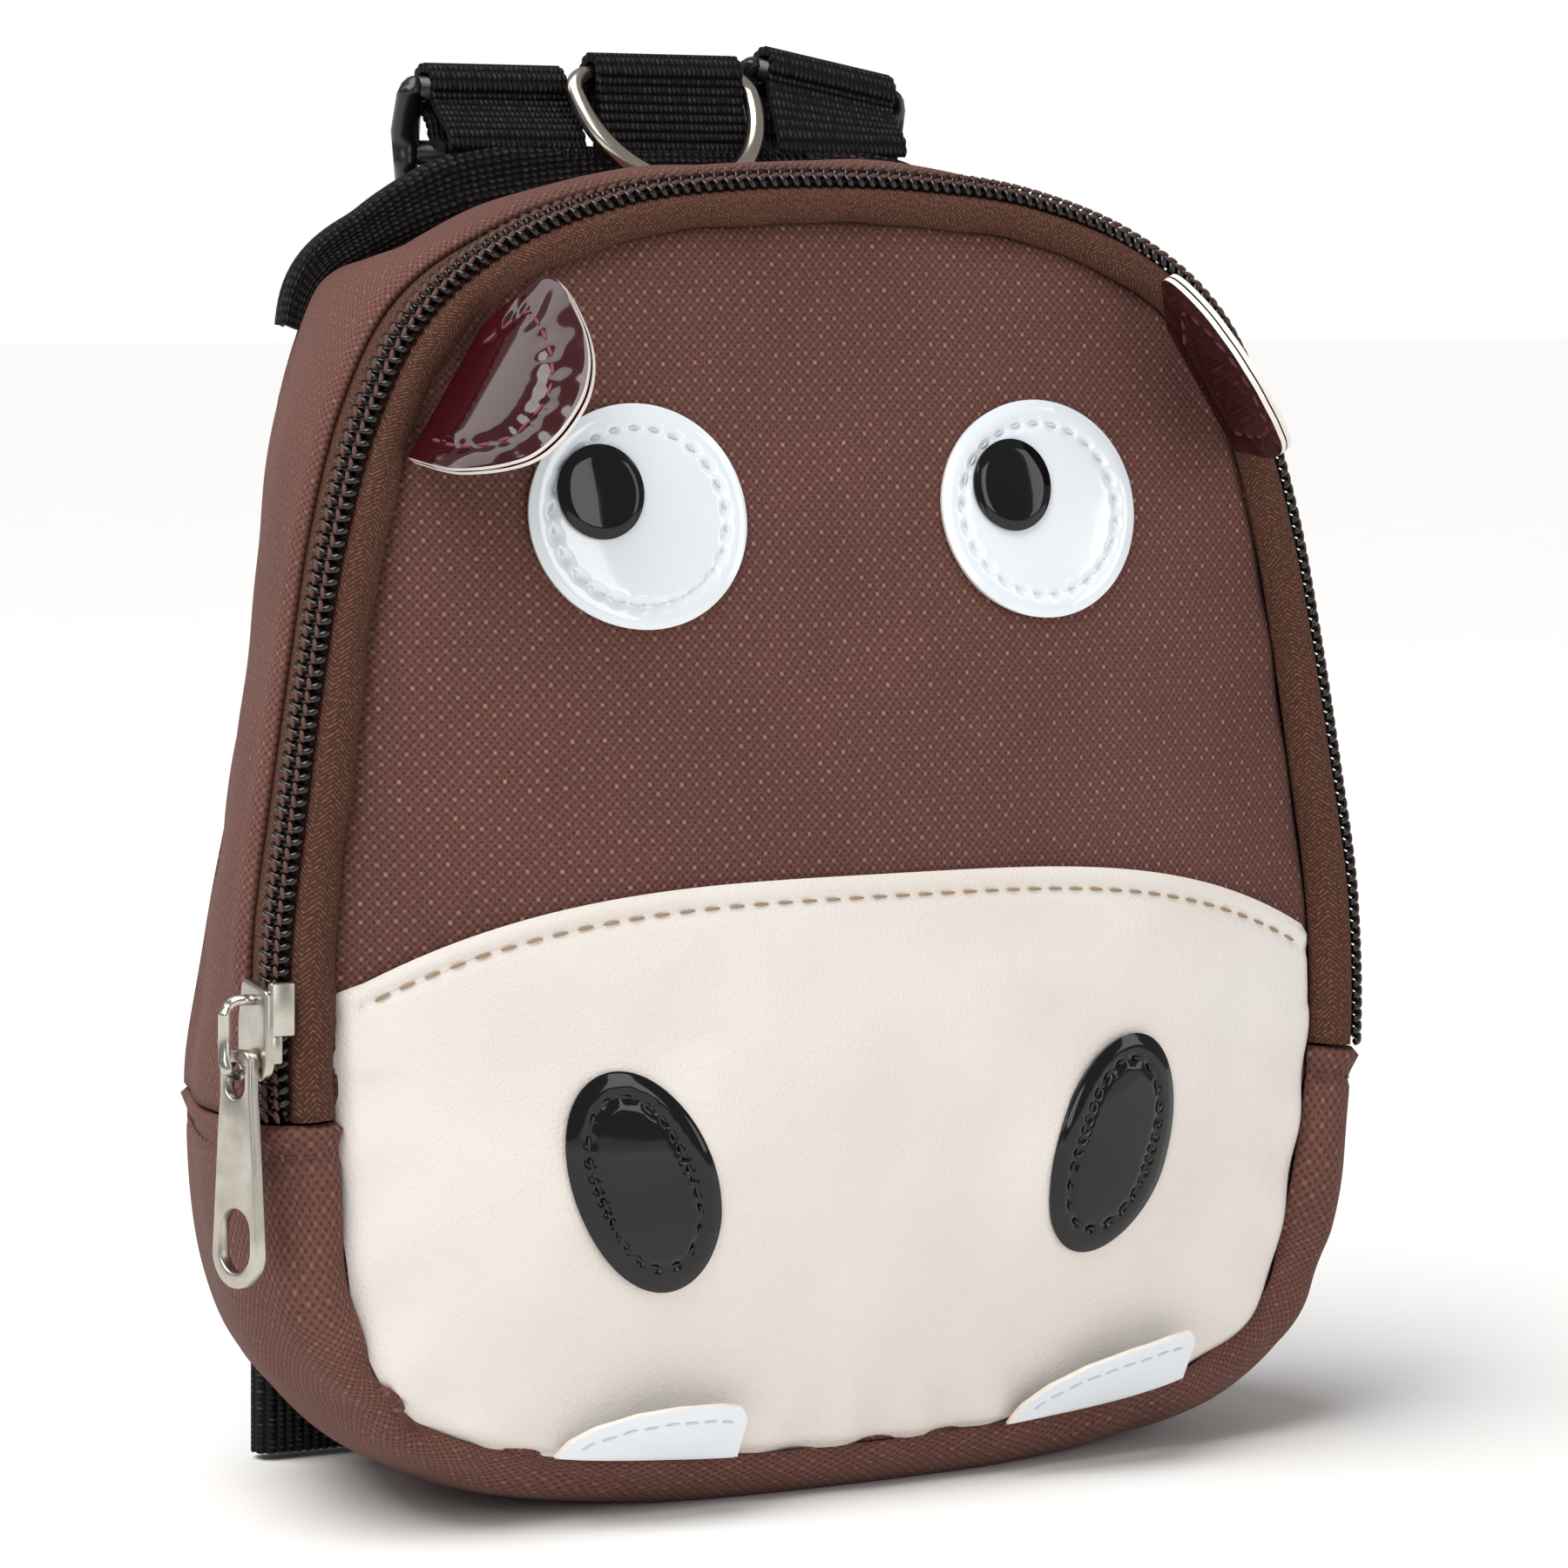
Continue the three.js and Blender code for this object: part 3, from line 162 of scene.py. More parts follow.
# Zip
COIL_PITCH = 1.62
SLIDER_Z = 66
SLIDER = {"long": 12.5, "wide": 7.6, "plate": 1.3, "above": 1.75, "turn": -0.4}
BAIL = {"wire": 0.7, "half": 1, "low": -5.4, "high": 3.8, "rise": 3.8, "corner": 2}
PULL_PIVOT = {"side": -0.2, "up": -3.05, "out": 1.6, "turn": 0.2}
PULL = {"long": 29.5, "wide": 8.8, "neck": 5.8, "thick": 1.7, "hole": 1.9, "hole_long": 4.6}
PULL_EYE = {"wide": 5.8, "tall": 8, "from_end": 1.9}

# Webbing and hardware at the top
WEBBING = 1.4
RIB_PITCH = 1.28
BAND = {"top": 174.7, "rise": 5, "crown": 3.5, "thick": 3, "y": 21.5, "from": 0.35, "to": 0.65}
BAND_FOOT = -2.2
BAND_PITCH = 1.1
CENTRE_LOOP = (22, -1.3)
SIDE_LOOP = (20, 25)
RIGHT_LOOP_TURN = 0.18
RING = {"wire": 1.3, "half": 13.4, "deep": 18, "x": -1.85, "y": 26, "z": 185.2, "lean": 0.62}
LOCK = {"rail": 4, "bar": 3.4, "long": 20.5, "thick": 3.6, "y": 30.5, "z": 183, "lean": 0.12}
RAIL = [(0, 0.55), (0.12, 0.85), (0.36, 1), (0.66, 0.75), (1, 0.42)]
STRAP_WIDE = 19
STRAP_TAIL = 13
TAB = {"wide": 25, "inner": 37, "outer": 61.5, "y": 24.8, "foot": 1}
GAP = 0.3
SIDES = (("left", -1), ("right", 1))


def smooth(value, low, high):
    share = np.clip((np.asarray(value, float) - low) / (high - low), 0, 1)
    return share * share * (3 - 2 * share)


def unit(vectors):
    return vectors / np.linalg.norm(vectors, axis=-1, keepdims=True)


def ridge(value, middle, wide):
    return np.exp(-((np.asarray(value, float) - middle) / wide) ** 2)


# Catmull-Rom curve through knots, at shares of them: spaced by distance, or even.
def curve_points(knots, share, closed=False, even=False):
    knots = np.asarray(knots, float)
    count = len(knots)
    place = np.asarray(share, float) * (count if closed else count - 1)
    first = np.floor(place).astype(int)
    if closed:
        p = [knots[(first + k) % count] for k in (-1, 0, 1, 2)]
    else:
        first = np.clip(first, 0, count - 2)
        lead = knots[0] if even else 2 * knots[0] - knots[1]
        tail = knots[-1] if even else 2 * knots[-1] - knots[-2]
        longer = np.vstack([lead, knots, tail])
        p = [longer[first + k] for k in range(4)]
    weight = (place - first)[:, None]
    if even:
        start, end = (p[2] - p[0]) / 2, (p[3] - p[1]) / 2
    else:
        gap = [np.sqrt(np.linalg.norm(p[k + 1] - p[k], axis=1))[:, None] for k in range(3)]
        gap = [np.maximum(g, 1e-4) for g in gap]
        start = ((p[1] - p[0]) / gap[0] - (p[2] - p[0]) / (gap[0] + gap[1])
                 + (p[2] - p[1]) / gap[1]) * gap[1]
        end = ((p[2] - p[1]) / gap[1] - (p[3] - p[1]) / (gap[1] + gap[2])
               + (p[3] - p[2]) / gap[2]) * gap[1]
    return (p[1] + start * weight + (3 * p[2] - 3 * p[1] - 2 * start - end) * weight ** 2
            + (2 * p[1] - 2 * p[2] + start + end) * weight ** 3)


# A curve that is read by its length in mm.
class Path:
    def __init__(self, knots, closed=False):
        self.knots, self.closed = np.asarray(knots, float), closed
        self.share = np.linspace(0, 1, 801)
        steps = np.linalg.norm(np.diff(curve_points(self.knots, self.share, closed), axis=0), axis=1)
        self.far = np.concatenate([[0], np.cumsum(steps)])
        self.length = self.far[-1]

    def at(self, mm):
        return curve_points(self.knots, np.interp(mm, self.far, self.share), self.closed)

    def along(self, mm):
        return unit(self.at(np.minimum(mm + 0.1, self.length)) - self.at(np.maximum(mm - 0.1, 0)))


def seam_y(z):
    return SEAM_Y + SEAM_LEAN * z


# Knots of a seam: up the right side, then down the left.
def seam_knots(up, out, size, depth_at, shifted):
    x, z = out * size["half"], size["foot"] + up * size["height"]
    sides = []
    for sign in (1, -1):
        middle, reach, more, down, _ = CORNER[sign]
        share = ridge(z, middle, reach) * (x / size["half"]) ** 2 * shifted
        sides.append(np.stack([sign * (x + more * share), depth_at(z - down * share),
                               z - down * share], 1))
    return np.vstack([sides[0], sides[1][-2:0:-1]])


FRONT_KNOTS = seam_knots(SEAMS[:, 0], SEAMS[:, 1], FRONT, seam_y, 1)
BACK_KNOTS = seam_knots(SEAMS[:, 2], SEAMS[:, 3], BACK, lambda z: z * 0 + BACK["y"], 0)


def front_seam(t):
    return curve_points(FRONT_KNOTS, np.asarray(t, float) % 1, True)


def back_seam(t):
    return curve_points(BACK_KNOTS, np.asarray(t, float) % 1, True)


RIM = front_seam(np.linspace(0, 1, 401))
SEAM_LENGTH = np.linalg.norm(np.diff(RIM, axis=0), axis=1).sum()
RIM_ANGLE = np.arctan2(RIM[:, 2] - CENTRE_Z, RIM[:, 0])
RIM_RADIUS = np.hypot(RIM[:, 0], RIM[:, 2] - CENTRE_Z)


def bulge_at(t):
    t = np.asarray(t, float) % 1
    place = np.where(t <= 0.5, t, 1 - t) * 2 * (len(SEAMS) - 1)
    spot = front_seam(t)
    bulge = np.where(spot[:, 0] > 0, CORNER[1][4], CORNER[-1][4])
    more = bulge * ridge(spot[:, 2], *CORNER_BULGE) * (spot[:, 0] / FRONT["half"]) ** 2
    return np.interp(place, np.arange(len(SEAMS)), SEAMS[:, 4]) + more


def outward_at(t, seam=front_seam):
    step = seam(t + 0.004) - seam(t - 0.004)
    return unit(np.stack([step[:, 2], step[:, 2] * 0, -step[:, 0]], 1))


def fold_at(t, row, table=PLEATS):
    lift = 0
    for middle, middle_row, wide, rows, rise in table:
        along = (t % 1 - middle) * SEAM_LENGTH / wide
        lift = lift + rise * np.exp(-along * along - ((row - middle_row) / rows) ** 2)
    return lift


# Outer skin of the sides: t runs round the bag from the middle of the foot, row across it.
def side_skin(t, row, extra=0):
    t, row = np.broadcast_arrays(np.asarray(t, float), np.asarray(row, float))
    point = front_seam(t)
    side = smooth(point[:, 2], *FOOT_BLEND)[:, None]
    share = np.clip(row / LAST_ROW, 0, 1)
    plan = curve_points(SECTION[:, 2:], share, even=True) * (1 - side) \
        + curve_points(SECTION[:, :2], share, even=True) * side
    point = point + (back_seam(t) - point) * plan[:, :1]
    edge = np.clip(np.minimum(row / 0.8, (LAST_ROW - row) / 0.8), 0, 1)
    stand = plan[:, 1] * bulge_at(t) + fold_at(t, row) * edge + extra
    point = point + outward_at(t) * stand[:, None]
    point[:, 2] = np.maximum(point[:, 2], 0)
    return point


def side_normal(t, row):
    t, row = np.broadcast_arrays(np.asarray(t, float), np.asarray(row, float))
    around = side_skin(t + 0.003, row) - side_skin(t - 0.003, row)
    back = side_skin(t, np.minimum(row + 0.12, LAST_ROW)) - side_skin(t, np.maximum(row - 0.12, 0))
    return unit(np.cross(back, around))


def outline_radius(angle):
    return np.interp(angle, RIM_ANGLE, RIM_RADIUS, period=2 * math.pi)


def front_y(x, z):
    share = np.minimum(1, np.hypot(x, z - CENTRE_Z) / outline_radius(np.arctan2(z - CENTRE_Z, x)))
    swell = np.interp(z, FRONT_SWELL[:, 0], FRONT_SWELL[:, 1])
    return seam_y(z) - swell * (1 - share ** DOME_POWER)


def front_normal(x, z):
    step = 0.4
    return unit(np.stack([(front_y(x + step, z) - front_y(x - step, z)) / (2 * step), x * 0 - 1,
                          (front_y(x, z + step) - front_y(x, z - step)) / (2 * step)], 1))


def muzzle_top(x):
    return MUZZLE["top"] - MUZZLE["drop"] * (np.abs(x) / FRONT["half"]) ** MUZZLE["power"]


def muzzle_radius(angle):
    low, high = angle * 0, angle * 0 + 120
    for _ in range(40):
        middle = (low + high) / 2
        x, z = middle * np.cos(angle), MUZZLE["z"] + middle * np.sin(angle)
        up = z - CENTRE_Z
        inside = (z < muzzle_top(x)) & (np.hypot(x, up) < outline_radius(np.arctan2(up, x))
                                        * MUZZLE_EDGE)
        low, high = np.where(inside, middle, low), np.where(inside, high, middle)
    return low


def seam_t(z):
    low, high = 0.05, 0.5
    for _ in range(40):
        middle = (low + high) / 2
        low, high = (middle, high) if front_seam(np.array([middle]))[0, 2] < z else (low, middle)
    return low


ZIP_T = seam_t(ZIP_END_Z)
GAP_T = GAP / SEAM_LENGTH

# Slow unevenness of hand-sewn cloth: a few waves in mm, the same in every run.
WAVES = [(0.071, 0.043, 1.3), (-0.052, 0.088, 0.4), (0.031, -0.115, 2.2), (0.137, 0.067, 4.1),
         (-0.094, -0.171, 5.2), (0.203, -0.058, 3.3)]


def unevenness(a, b):
    return sum(np.sin(a * p * 1.7 + b * q * 1.7 + s) for p, q, s in WAVES) / len(WAVES)


# Meshes
def cloth_grid(columns, rows, place, flat, facing, bm=None):
    """A sheet from a grid: place and flat give each point's spot and its flat cloth in mm."""
    sheet = bmesh.new()
    bmesh.ops.create_grid(sheet, x_segments=columns, y_segments=rows, size=0.5)
    sheet.verts.index_update()
    shares = np.array([v.co[:2] for v in sheet.verts]) + 0.5
    spots = place(shares[:, 0], shares[:, 1]) * MM
    cloth = flat(shares[:, 0], shares[:, 1])
    layer = sheet.loops.layers.uv.new("cloth_mm")
    for vert, spot in zip(sheet.verts, spots):
        vert.co = spot
    for face in sheet.faces:
        for loop in face.loops:
            loop[layer].uv = cloth[loop.vert.index]
    sheet.normal_update()
    sheet.faces.ensure_lookup_table()
    middle = sheet.faces[len(sheet.faces) // 2]
    if middle.normal.dot(Vector(facing(middle.calc_center_median()))) < 0:
        bmesh.ops.reverse_faces(sheet, faces=sheet.faces[:])
    return sheet


def disc(u, v):
    x, y = 2 * u - 1, 2 * v - 1
    across, up = x * np.sqrt(1 - y * y / 2), y * np.sqrt(1 - x * x / 2)
    return np.minimum(np.hypot(across, up), 1), np.arctan2(up, across)


def add_piece(name, shape, looks, nodes=(), body="bag", wall=0, middle=False,
              bevel=0, subdivide=0, flat_shade=False):
    """A finished piece from a bmesh or mesh, with its wall, edges, looks, body and nodes."""
    if isinstance(shape, bmesh.types.BMesh):
        mesh = bpy.data.meshes.new(name)
        shape.to_mesh(mesh)
        shape.free()
    else:
        mesh = shape
    mesh.name = name
    piece = bpy.data.objects.new(name, mesh)
    bpy.context.scene.collection.objects.link(piece)
    mesh.materials.clear()
    for look in looks:
        mesh.materials.append(look)
    for face in mesh.polygons:
        face.use_smooth = not flat_shade
    if wall:
        solid = piece.modifiers.new("wall", "SOLIDIFY")
        solid.thickness, solid.offset = wall * MM, 0 if middle else -1
        if len(looks) > 1:
            solid.material_offset_rim = 1
    if bevel:
        edge = piece.modifiers.new("edges", "BEVEL")
        edge.width, edge.segments, edge.limit_method = bevel * MM, 2, "ANGLE"
        edge.angle_limit, edge.harden_normals = math.radians(50), False
    if subdivide:
        finer = piece.modifiers.new("rounding", "SUBSURF")
        finer.levels = finer.render_levels = subdivide
    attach(piece, body)
    if nodes:
        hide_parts(*nodes)
    return piece


def frame_matrix(at, x_axis, y_axis, z_axis, sizes=(1, 1, 1)):
    place = Matrix.Translation(Vector(at) * MM)
    turn = Matrix((x_axis, y_axis, z_axis)).transposed().to_4x4()
    return place @ turn @ Matrix.Diagonal((*[s * MM for s in sizes], 1))


def bead_row(bm, spots, along, up, sizes, sides=8, rings=5):
    """Small rounded beads at spots, with their length, width and height in mm."""
    across = unit(np.cross(up, along))
    level = unit(np.cross(along, across))
    for at, x, y, z in zip(spots, along, across, level):
        bmesh.ops.create_uvsphere(bm, u_segments=sides, v_segments=rings, radius=0.5,
                                  matrix=frame_matrix(at, x, y, z, sizes))


def paced(spots, pitch):
    """Even places along a line of points, with the direction at each."""
    steps = np.linalg.norm(np.diff(spots, axis=0), axis=1)
    far = np.concatenate([[0], np.cumsum(steps)])
    count = max(2, int(round(far[-1] / pitch)))
    where = (np.arange(count) + 0.5) * far[-1] / count
    read = lambda mm: np.stack([np.interp(mm, far, spots[:, k]) for k in range(3)], 1)
    return read(where), unit(read(where + 0.2) - read(where - 0.2))


def loft(bm, rings, sides):
    """A closed bar through placed rings, made by extruding its end face."""
    made = bmesh.ops.create_circle(bm, cap_ends=True, radius=1, segments=sides, matrix=rings[0])
    face = made["verts"][0].link_faces[0]
    for before, after in zip(rings, rings[1:]):
        grown = bmesh.ops.extrude_face_region(bm, geom=[face])["geom"]
        face = next(g for g in grown if isinstance(g, bmesh.types.BMFace))
        bmesh.ops.transform(bm, matrix=after @ before.inverted(), verts=face.verts[:])


def curve_mesh(data):
    holder = bpy.data.objects.new("shape", data)
    bpy.context.scene.collection.objects.link(holder)
    bpy.context.view_layer.update()
    mesh = bpy.data.meshes.new_from_object(
        holder.evaluated_get(bpy.context.evaluated_depsgraph_get()))
    bpy.data.objects.remove(holder)
    bpy.data.curves.remove(data)
    return mesh


def wire_mesh(spots, radius, closed=False, radii=None, fineness=2):
    data = bpy.data.curves.new("wire", "CURVE")
    data.dimensions, data.bevel_depth, data.bevel_resolution = "3D", radius * MM, fineness
    data.use_fill_caps = not closed
    line = data.splines.new("POLY")
    line.points.add(len(spots) - 1)
    line.points.foreach_set("co", np.hstack([spots * MM, np.ones((len(spots), 1))]).ravel())
    if radii is not None:
        line.points.foreach_set("radius", radii)
    line.use_cyclic_u = closed
    return curve_mesh(data)


def plate_mesh(outline, holes, thick, edge, place):
    """A flat plate with round edges from an outline and holes in mm, placed by a matrix."""
    data = bpy.data.curves.new("plate", "CURVE")
    data.dimensions, data.fill_mode = "2D", "BOTH"
    data.extrude, data.bevel_depth, data.bevel_resolution = (thick / 2 - edge) * MM, edge * MM, 2
    data.offset = -edge * MM
    for points in [outline, *holes]:
        line = data.splines.new("POLY")
        line.points.add(len(points) - 1)
        for spot, (x, y) in zip(line.points, points):
            spot.co = (x * MM, y * MM, 0, 1)
        line.use_cyclic_u = True
    mesh = curve_mesh(data)
    mesh.transform(place)
    return mesh


def joined(*meshes):
    bm = bmesh.new()
    for mesh in meshes:
        bm.from_mesh(mesh)
        bpy.data.meshes.remove(mesh)
    bmesh.ops.remove_doubles(bm, verts=bm.verts[:], dist=1e-7)
    bmesh.ops.recalc_face_normals(bm, faces=bm.faces[:])
    return bm


# Looks
def linear(colour):
    """An sRGB hex colour as linear red, green, blue and alpha."""
    parts = [int(colour[k:k + 2], 16) / 255 for k in (1, 3, 5)]
    return (*[p / 12.92 if p <= 0.04045 else ((p + 0.055) / 1.055) ** 2.4 for p in parts], 1)


def node(tree, kind, inputs=(), out=0, **settings):
    """Adds a node with its settings, links or sets its inputs, and gives one of its outputs."""
    made = tree.nodes.new(kind)
    for key, value in settings.items():
        setattr(made, key, value)
    for key, value in dict(inputs).items():
        if isinstance(value, bpy.types.NodeSocket):
            tree.links.new(value, made.inputs[key])
        else:
            made.inputs[key].default_value = value
    return made.outputs[out]


MATH, MIX, RANGE = "ShaderNodeMath", "ShaderNodeMix", "ShaderNodeMapRange"
NOISE, BUMP, UV = "ShaderNodeTexNoise", "ShaderNodeBump", "ShaderNodeUVMap"


def new_look(name, colour=None, bump=None, roughness=0.5, **constants):
    """A new surface with its node tree switched on; colour, bump, roughness and constants are not used.
    """
    look = bpy.data.materials.new(name)
    look.use_nodes = True
    return look


def begin(name):
    look = bpy.data.materials.new(name)
    look.use_nodes = True
    look.node_tree.nodes.clear()
    return look, look.node_tree


def end(tree, colour, roughness, normal=None, **constants):
    inputs = {"Base Color": colour, "Roughness": roughness}
    if normal is not None:
        inputs["Normal"] = normal
    inputs.update({key.replace("_", " "): value for key, value in constants.items()})
    shader = node(tree, "ShaderNodeBsdfPrincipled", inputs)
    node_out = tree.nodes.new("ShaderNodeOutputMaterial")
    tree.links.new(shader, node_out.inputs["Surface"])


def look_cloth(name, dark, mid, light, wide, tall, deep):
    """Woven polyester: raised crossings in staggered rows with a painted highlight, painted shade in the
    pits between them, matt.
    """
    look, tree = begin(name)
    cloth = node(tree, UV, uv_map="cloth_mm")
    drift = node(tree, NOISE, {"Vector": cloth, "Scale": 0.11, "Detail": 2.0}, out=1)
    moved = node(tree, "ShaderNodeVectorMath", {0: drift, 1: (1.2, 1.2, 0), 2: cloth},
                 operation="MULTIPLY_ADD")
    parts = tree.nodes.new("ShaderNodeSeparateXYZ")
    tree.links.new(moved, parts.inputs[0])
    waves = [node(tree, MATH, {0: node(tree, MATH, {0: parts.outputs[k], 1: 2 * math.pi / size},
                                       operation="MULTIPLY")}, operation="COSINE")
             for k, size in ((0, wide), (1, tall))]
    weave = node(tree, MATH, {0: waves[0], 1: waves[1]}, operation="MULTIPLY")
    fine = [node(tree, MATH, {0: node(tree, MATH, {0: parts.outputs[k], 1: 4 * math.pi / size},
                                      operation="MULTIPLY")}, operation="COSINE")
            for k, size in ((0, wide), (1, tall))]
    threads = node(tree, MATH, {0: fine[0], 1: fine[1]}, operation="MULTIPLY")
    patchy = node(tree, NOISE, {"Vector": cloth, "Scale": 0.55, "Detail": 3.0})
    fibre = node(tree, NOISE, {"Vector": cloth, "Scale": 1.9, "Detail": 2.0})
    speck = node(tree, RANGE, {"Value": fibre, "From Min": 0.3, "From Max": 0.7, "To Min": 0.8,
                               "To Max": 1.2})
    # Painted highlight: the raised crossings are mixed towards the pale colour, in patches.
    peak = node(tree, RANGE, {"Value": weave, "From Min": 0.55, "From Max": 1.0},
                interpolation_type="SMOOTHSTEP")
    # Painted shade: the pits between the threads are mixed towards the dark colour.
    pit_shade = node(tree, RANGE, {"Value": threads, "From Min": 0.1, "From Max": -0.8,
                                "To Max": 0.85})
    lively = node(tree, RANGE, {"Value": patchy, "From Min": 0.38, "From Max": 0.7,
                                "To Min": 0.1, "To Max": 0.8})
    painted_glint = node(tree, MATH, {0: peak, 1: lively}, operation="MULTIPLY")
    pit_shade = node(tree, MATH, {0: pit_shade, 1: node(tree, RANGE, {
        "Value": fibre, "From Min": 0.3, "From Max": 0.65, "To Min": 0.35, "To Max": 1.0})},
               operation="MULTIPLY")
    body = node(tree, MIX, {"Factor": pit_shade, 6: linear(mid), 7: linear(dark)}, out=2,
                data_type="RGBA")
    colour = node(tree, MIX, {"Factor": painted_glint, 6: body, 7: linear(light)}, out=2,
                  data_type="RGBA")
    broad = node(tree, NOISE, {"Vector": cloth, "Scale": 0.035, "Detail": 2.0})
    tone = node(tree, RANGE, {"Value": broad, "From Min": 0.3, "From Max": 0.7, "To Min": 0.92,
                              "To Max": 1.08})
    tone = node(tree, MATH, {0: tone, 1: speck}, operation="MULTIPLY")
    colour = node(tree, "ShaderNodeVectorMath", {0: colour, "Scale": tone}, operation="SCALE")
    height = node(tree, MATH, {0: fibre, 1: 0.8, 2: threads}, operation="MULTIPLY_ADD")
    normal = node(tree, BUMP, {"Height": height, "Distance": deep * MM, "Strength": 1.0})
    end(tree, colour, 0.85, normal, Sheen_Weight=0.03, Sheen_Roughness=0.5,
        Specular_IOR_Level=0.15)
    return look


def look_twill(name, dark, light, pitch, herring, deep, gloss=0.8):
    """Zip tape: fine slanting twill lines that turn at each stripe, with a few bright threads; painted
    light and shade, paler where lines and threads stand high, darker in the grooves.
    """
    look, tree = begin(name)
    cloth = node(tree, UV, uv_map="cloth_mm")
    drift = node(tree, NOISE, {"Vector": cloth, "Scale": 0.2, "Detail": 2.0}, out=1)
    moved = node(tree, "ShaderNodeVectorMath", {0: drift, 1: (0.8, 0.8, 0), 2: cloth},
                 operation="MULTIPLY_ADD")
    parts = tree.nodes.new("ShaderNodeSeparateXYZ")
    tree.links.new(moved, parts.inputs[0])
    turned = node(tree, MATH, {0: parts.outputs[1], 1: herring}, operation="PINGPONG")
    slant = node(tree, MATH, {0: parts.outputs[0], 1: turned}, operation="ADD")
    line = node(tree, MATH, {0: node(tree, MATH, {0: slant, 1: 2 * math.pi / pitch},
                                     operation="MULTIPLY")}, operation="SINE")
    thread = node(tree, NOISE, {"Vector": cloth, "Scale": 2.1, "Detail": 2.0})
    bright = node(tree, RANGE, {"Value": thread, "From Min": 0.4, "From Max": 0.64})
    peak = node(tree, RANGE, {"Value": line, "From Min": -0.4, "From Max": 1.0})
    # Painted light and shade: the colour follows the height, pale on the raised lines and threads, dark
    # in the grooves.
    shade = node(tree, MATH, {0: peak, 1: bright}, operation="MULTIPLY")
    colour = node(tree, MIX, {"Factor": shade, 6: linear(dark), 7: linear(light)}, out=2,
                  data_type="RGBA")
    height = node(tree, MATH, {0: thread, 1: 0.8, 2: line}, operation="MULTIPLY_ADD")
    normal = node(tree, BUMP, {"Height": height, "Distance": deep * MM, "Strength": 1.0})
    end(tree, colour, gloss, normal, Specular_IOR_Level=0.2)
    return look


def look_webbing(name, dark, light, pitch, dot):
    """Polypropylene webbing: cross ribs, with a painted highlight on the crossing thread at even dots.
    """
    look, tree = begin(name)
    cloth = node(tree, UV, uv_map="cloth_mm")
    parts = tree.nodes.new("ShaderNodeSeparateXYZ")
    tree.links.new(cloth, parts.inputs[0])
    waves = [node(tree, MATH, {0: node(tree, MATH, {0: parts.outputs[k], 1: 2 * math.pi / size},
                                       operation="MULTIPLY")}, operation=kind)
             for k, size, kind in ((0, pitch, "COSINE"), (1, dot, "SINE"))]
    rib = node(tree, MATH, {0: waves[0], 1: -1.0}, operation="MULTIPLY")
    dots = node(tree, MATH, {0: node(tree, RANGE, {"Value": rib, "From Min": -0.2, "From Max": 1.0}),
                             1: node(tree, RANGE, {"Value": waves[1], "From Min": 0.0,
                                                   "From Max": 1.0})}, operation="MULTIPLY")
    patchy = node(tree, NOISE, {"Vector": cloth, "Scale": 0.9, "Detail": 2.0})
    lively = node(tree, RANGE, {"Value": patchy, "From Min": 0.38, "From Max": 0.68})
    # Painted highlight on the crossing thread at the dots, in patches.
    painted_glint = node(tree, MATH, {0: dots, 1: lively}, operation="MULTIPLY")
    colour = node(tree, MIX, {"Factor": painted_glint, 6: linear(dark), 7: linear(light)}, out=2,
                  data_type="RGBA")
    height = node(tree, MATH, {0: waves[1], 1: 0.5, 2: rib}, operation="MULTIPLY_ADD")
    normal = node(tree, BUMP, {"Height": height, "Distance": 0.1 * MM, "Strength": 1.0})
    end(tree, colour, 0.62, normal, Specular_IOR_Level=0.18)
    return look


def look_skin(name, colour, tint, grain, deep, roughness, coat, wavy=0.0, shine=0.5):
    """Coated leathercloth or patent: even colour, fine grain or slow waves, and a clear top."""
    look, tree = begin(name)
    spot = node(tree, "ShaderNodeTexCoord", out=3)
    broad = node(tree, NOISE, {"Vector": spot, "Scale": 38.0, "Detail": 3.0})
    shade = node(tree, RANGE, {"Value": broad, "From Min": 0.35, "From Max": 0.65})
    base = node(tree, MIX, {"Factor": shade, 6: linear(colour), 7: linear(tint)}, out=2,
                data_type="RGBA")
    cells = node(tree, "ShaderNodeTexVoronoi", {"Vector": spot, "Scale": 1000 / grain},
                 feature="DISTANCE_TO_EDGE")
    creases = node(tree, RANGE, {"Value": cells, "From Min": 0.0, "From Max": 0.25})
    slow = node(tree, NOISE, {"Vector": spot, "Scale": 140.0, "Detail": 1.0})
    fine = node(tree, BUMP, {"Height": creases, "Distance": deep * MM, "Strength": 1.0})
    normal = node(tree, BUMP, {"Height": slow, "Distance": wavy * MM, "Strength": 1.0,
                               "Normal": fine})
    rough = node(tree, RANGE, {"Value": slow, "To Min": roughness * 0.8, "To Max": roughness * 1.2})
    end(tree, base, rough, normal, Coat_Weight=coat, Coat_Roughness=0.04,
        Specular_IOR_Level=shine)
    return look


def look_metal(name, colour, worn, roughness, deep):
    """Nickel plate over zinc: warm grey metal, faint casting grain, a little dulled on its faces."""
    look, tree = begin(name)
    spot = node(tree, "ShaderNodeTexCoord", out=3)
    grain = node(tree, NOISE, {"Vector": spot, "Scale": 2200.0, "Detail": 2.0})
    cloudy = node(tree, NOISE, {"Vector": spot, "Scale": 260.0, "Detail": 3.0})
    base = node(tree, MIX, {"Factor": cloudy, 6: linear(colour), 7: linear(worn)}, out=2,
                data_type="RGBA")
    rough = node(tree, RANGE, {"Value": cloudy, "From Min": 0.3, "From Max": 0.7,
                               "To Min": roughness * 0.75, "To Max": roughness * 1.3})
    normal = node(tree, BUMP, {"Height": grain, "Distance": deep * MM, "Strength": 1.0})
    end(tree, base, rough, normal, Metallic=1.0)
    return look


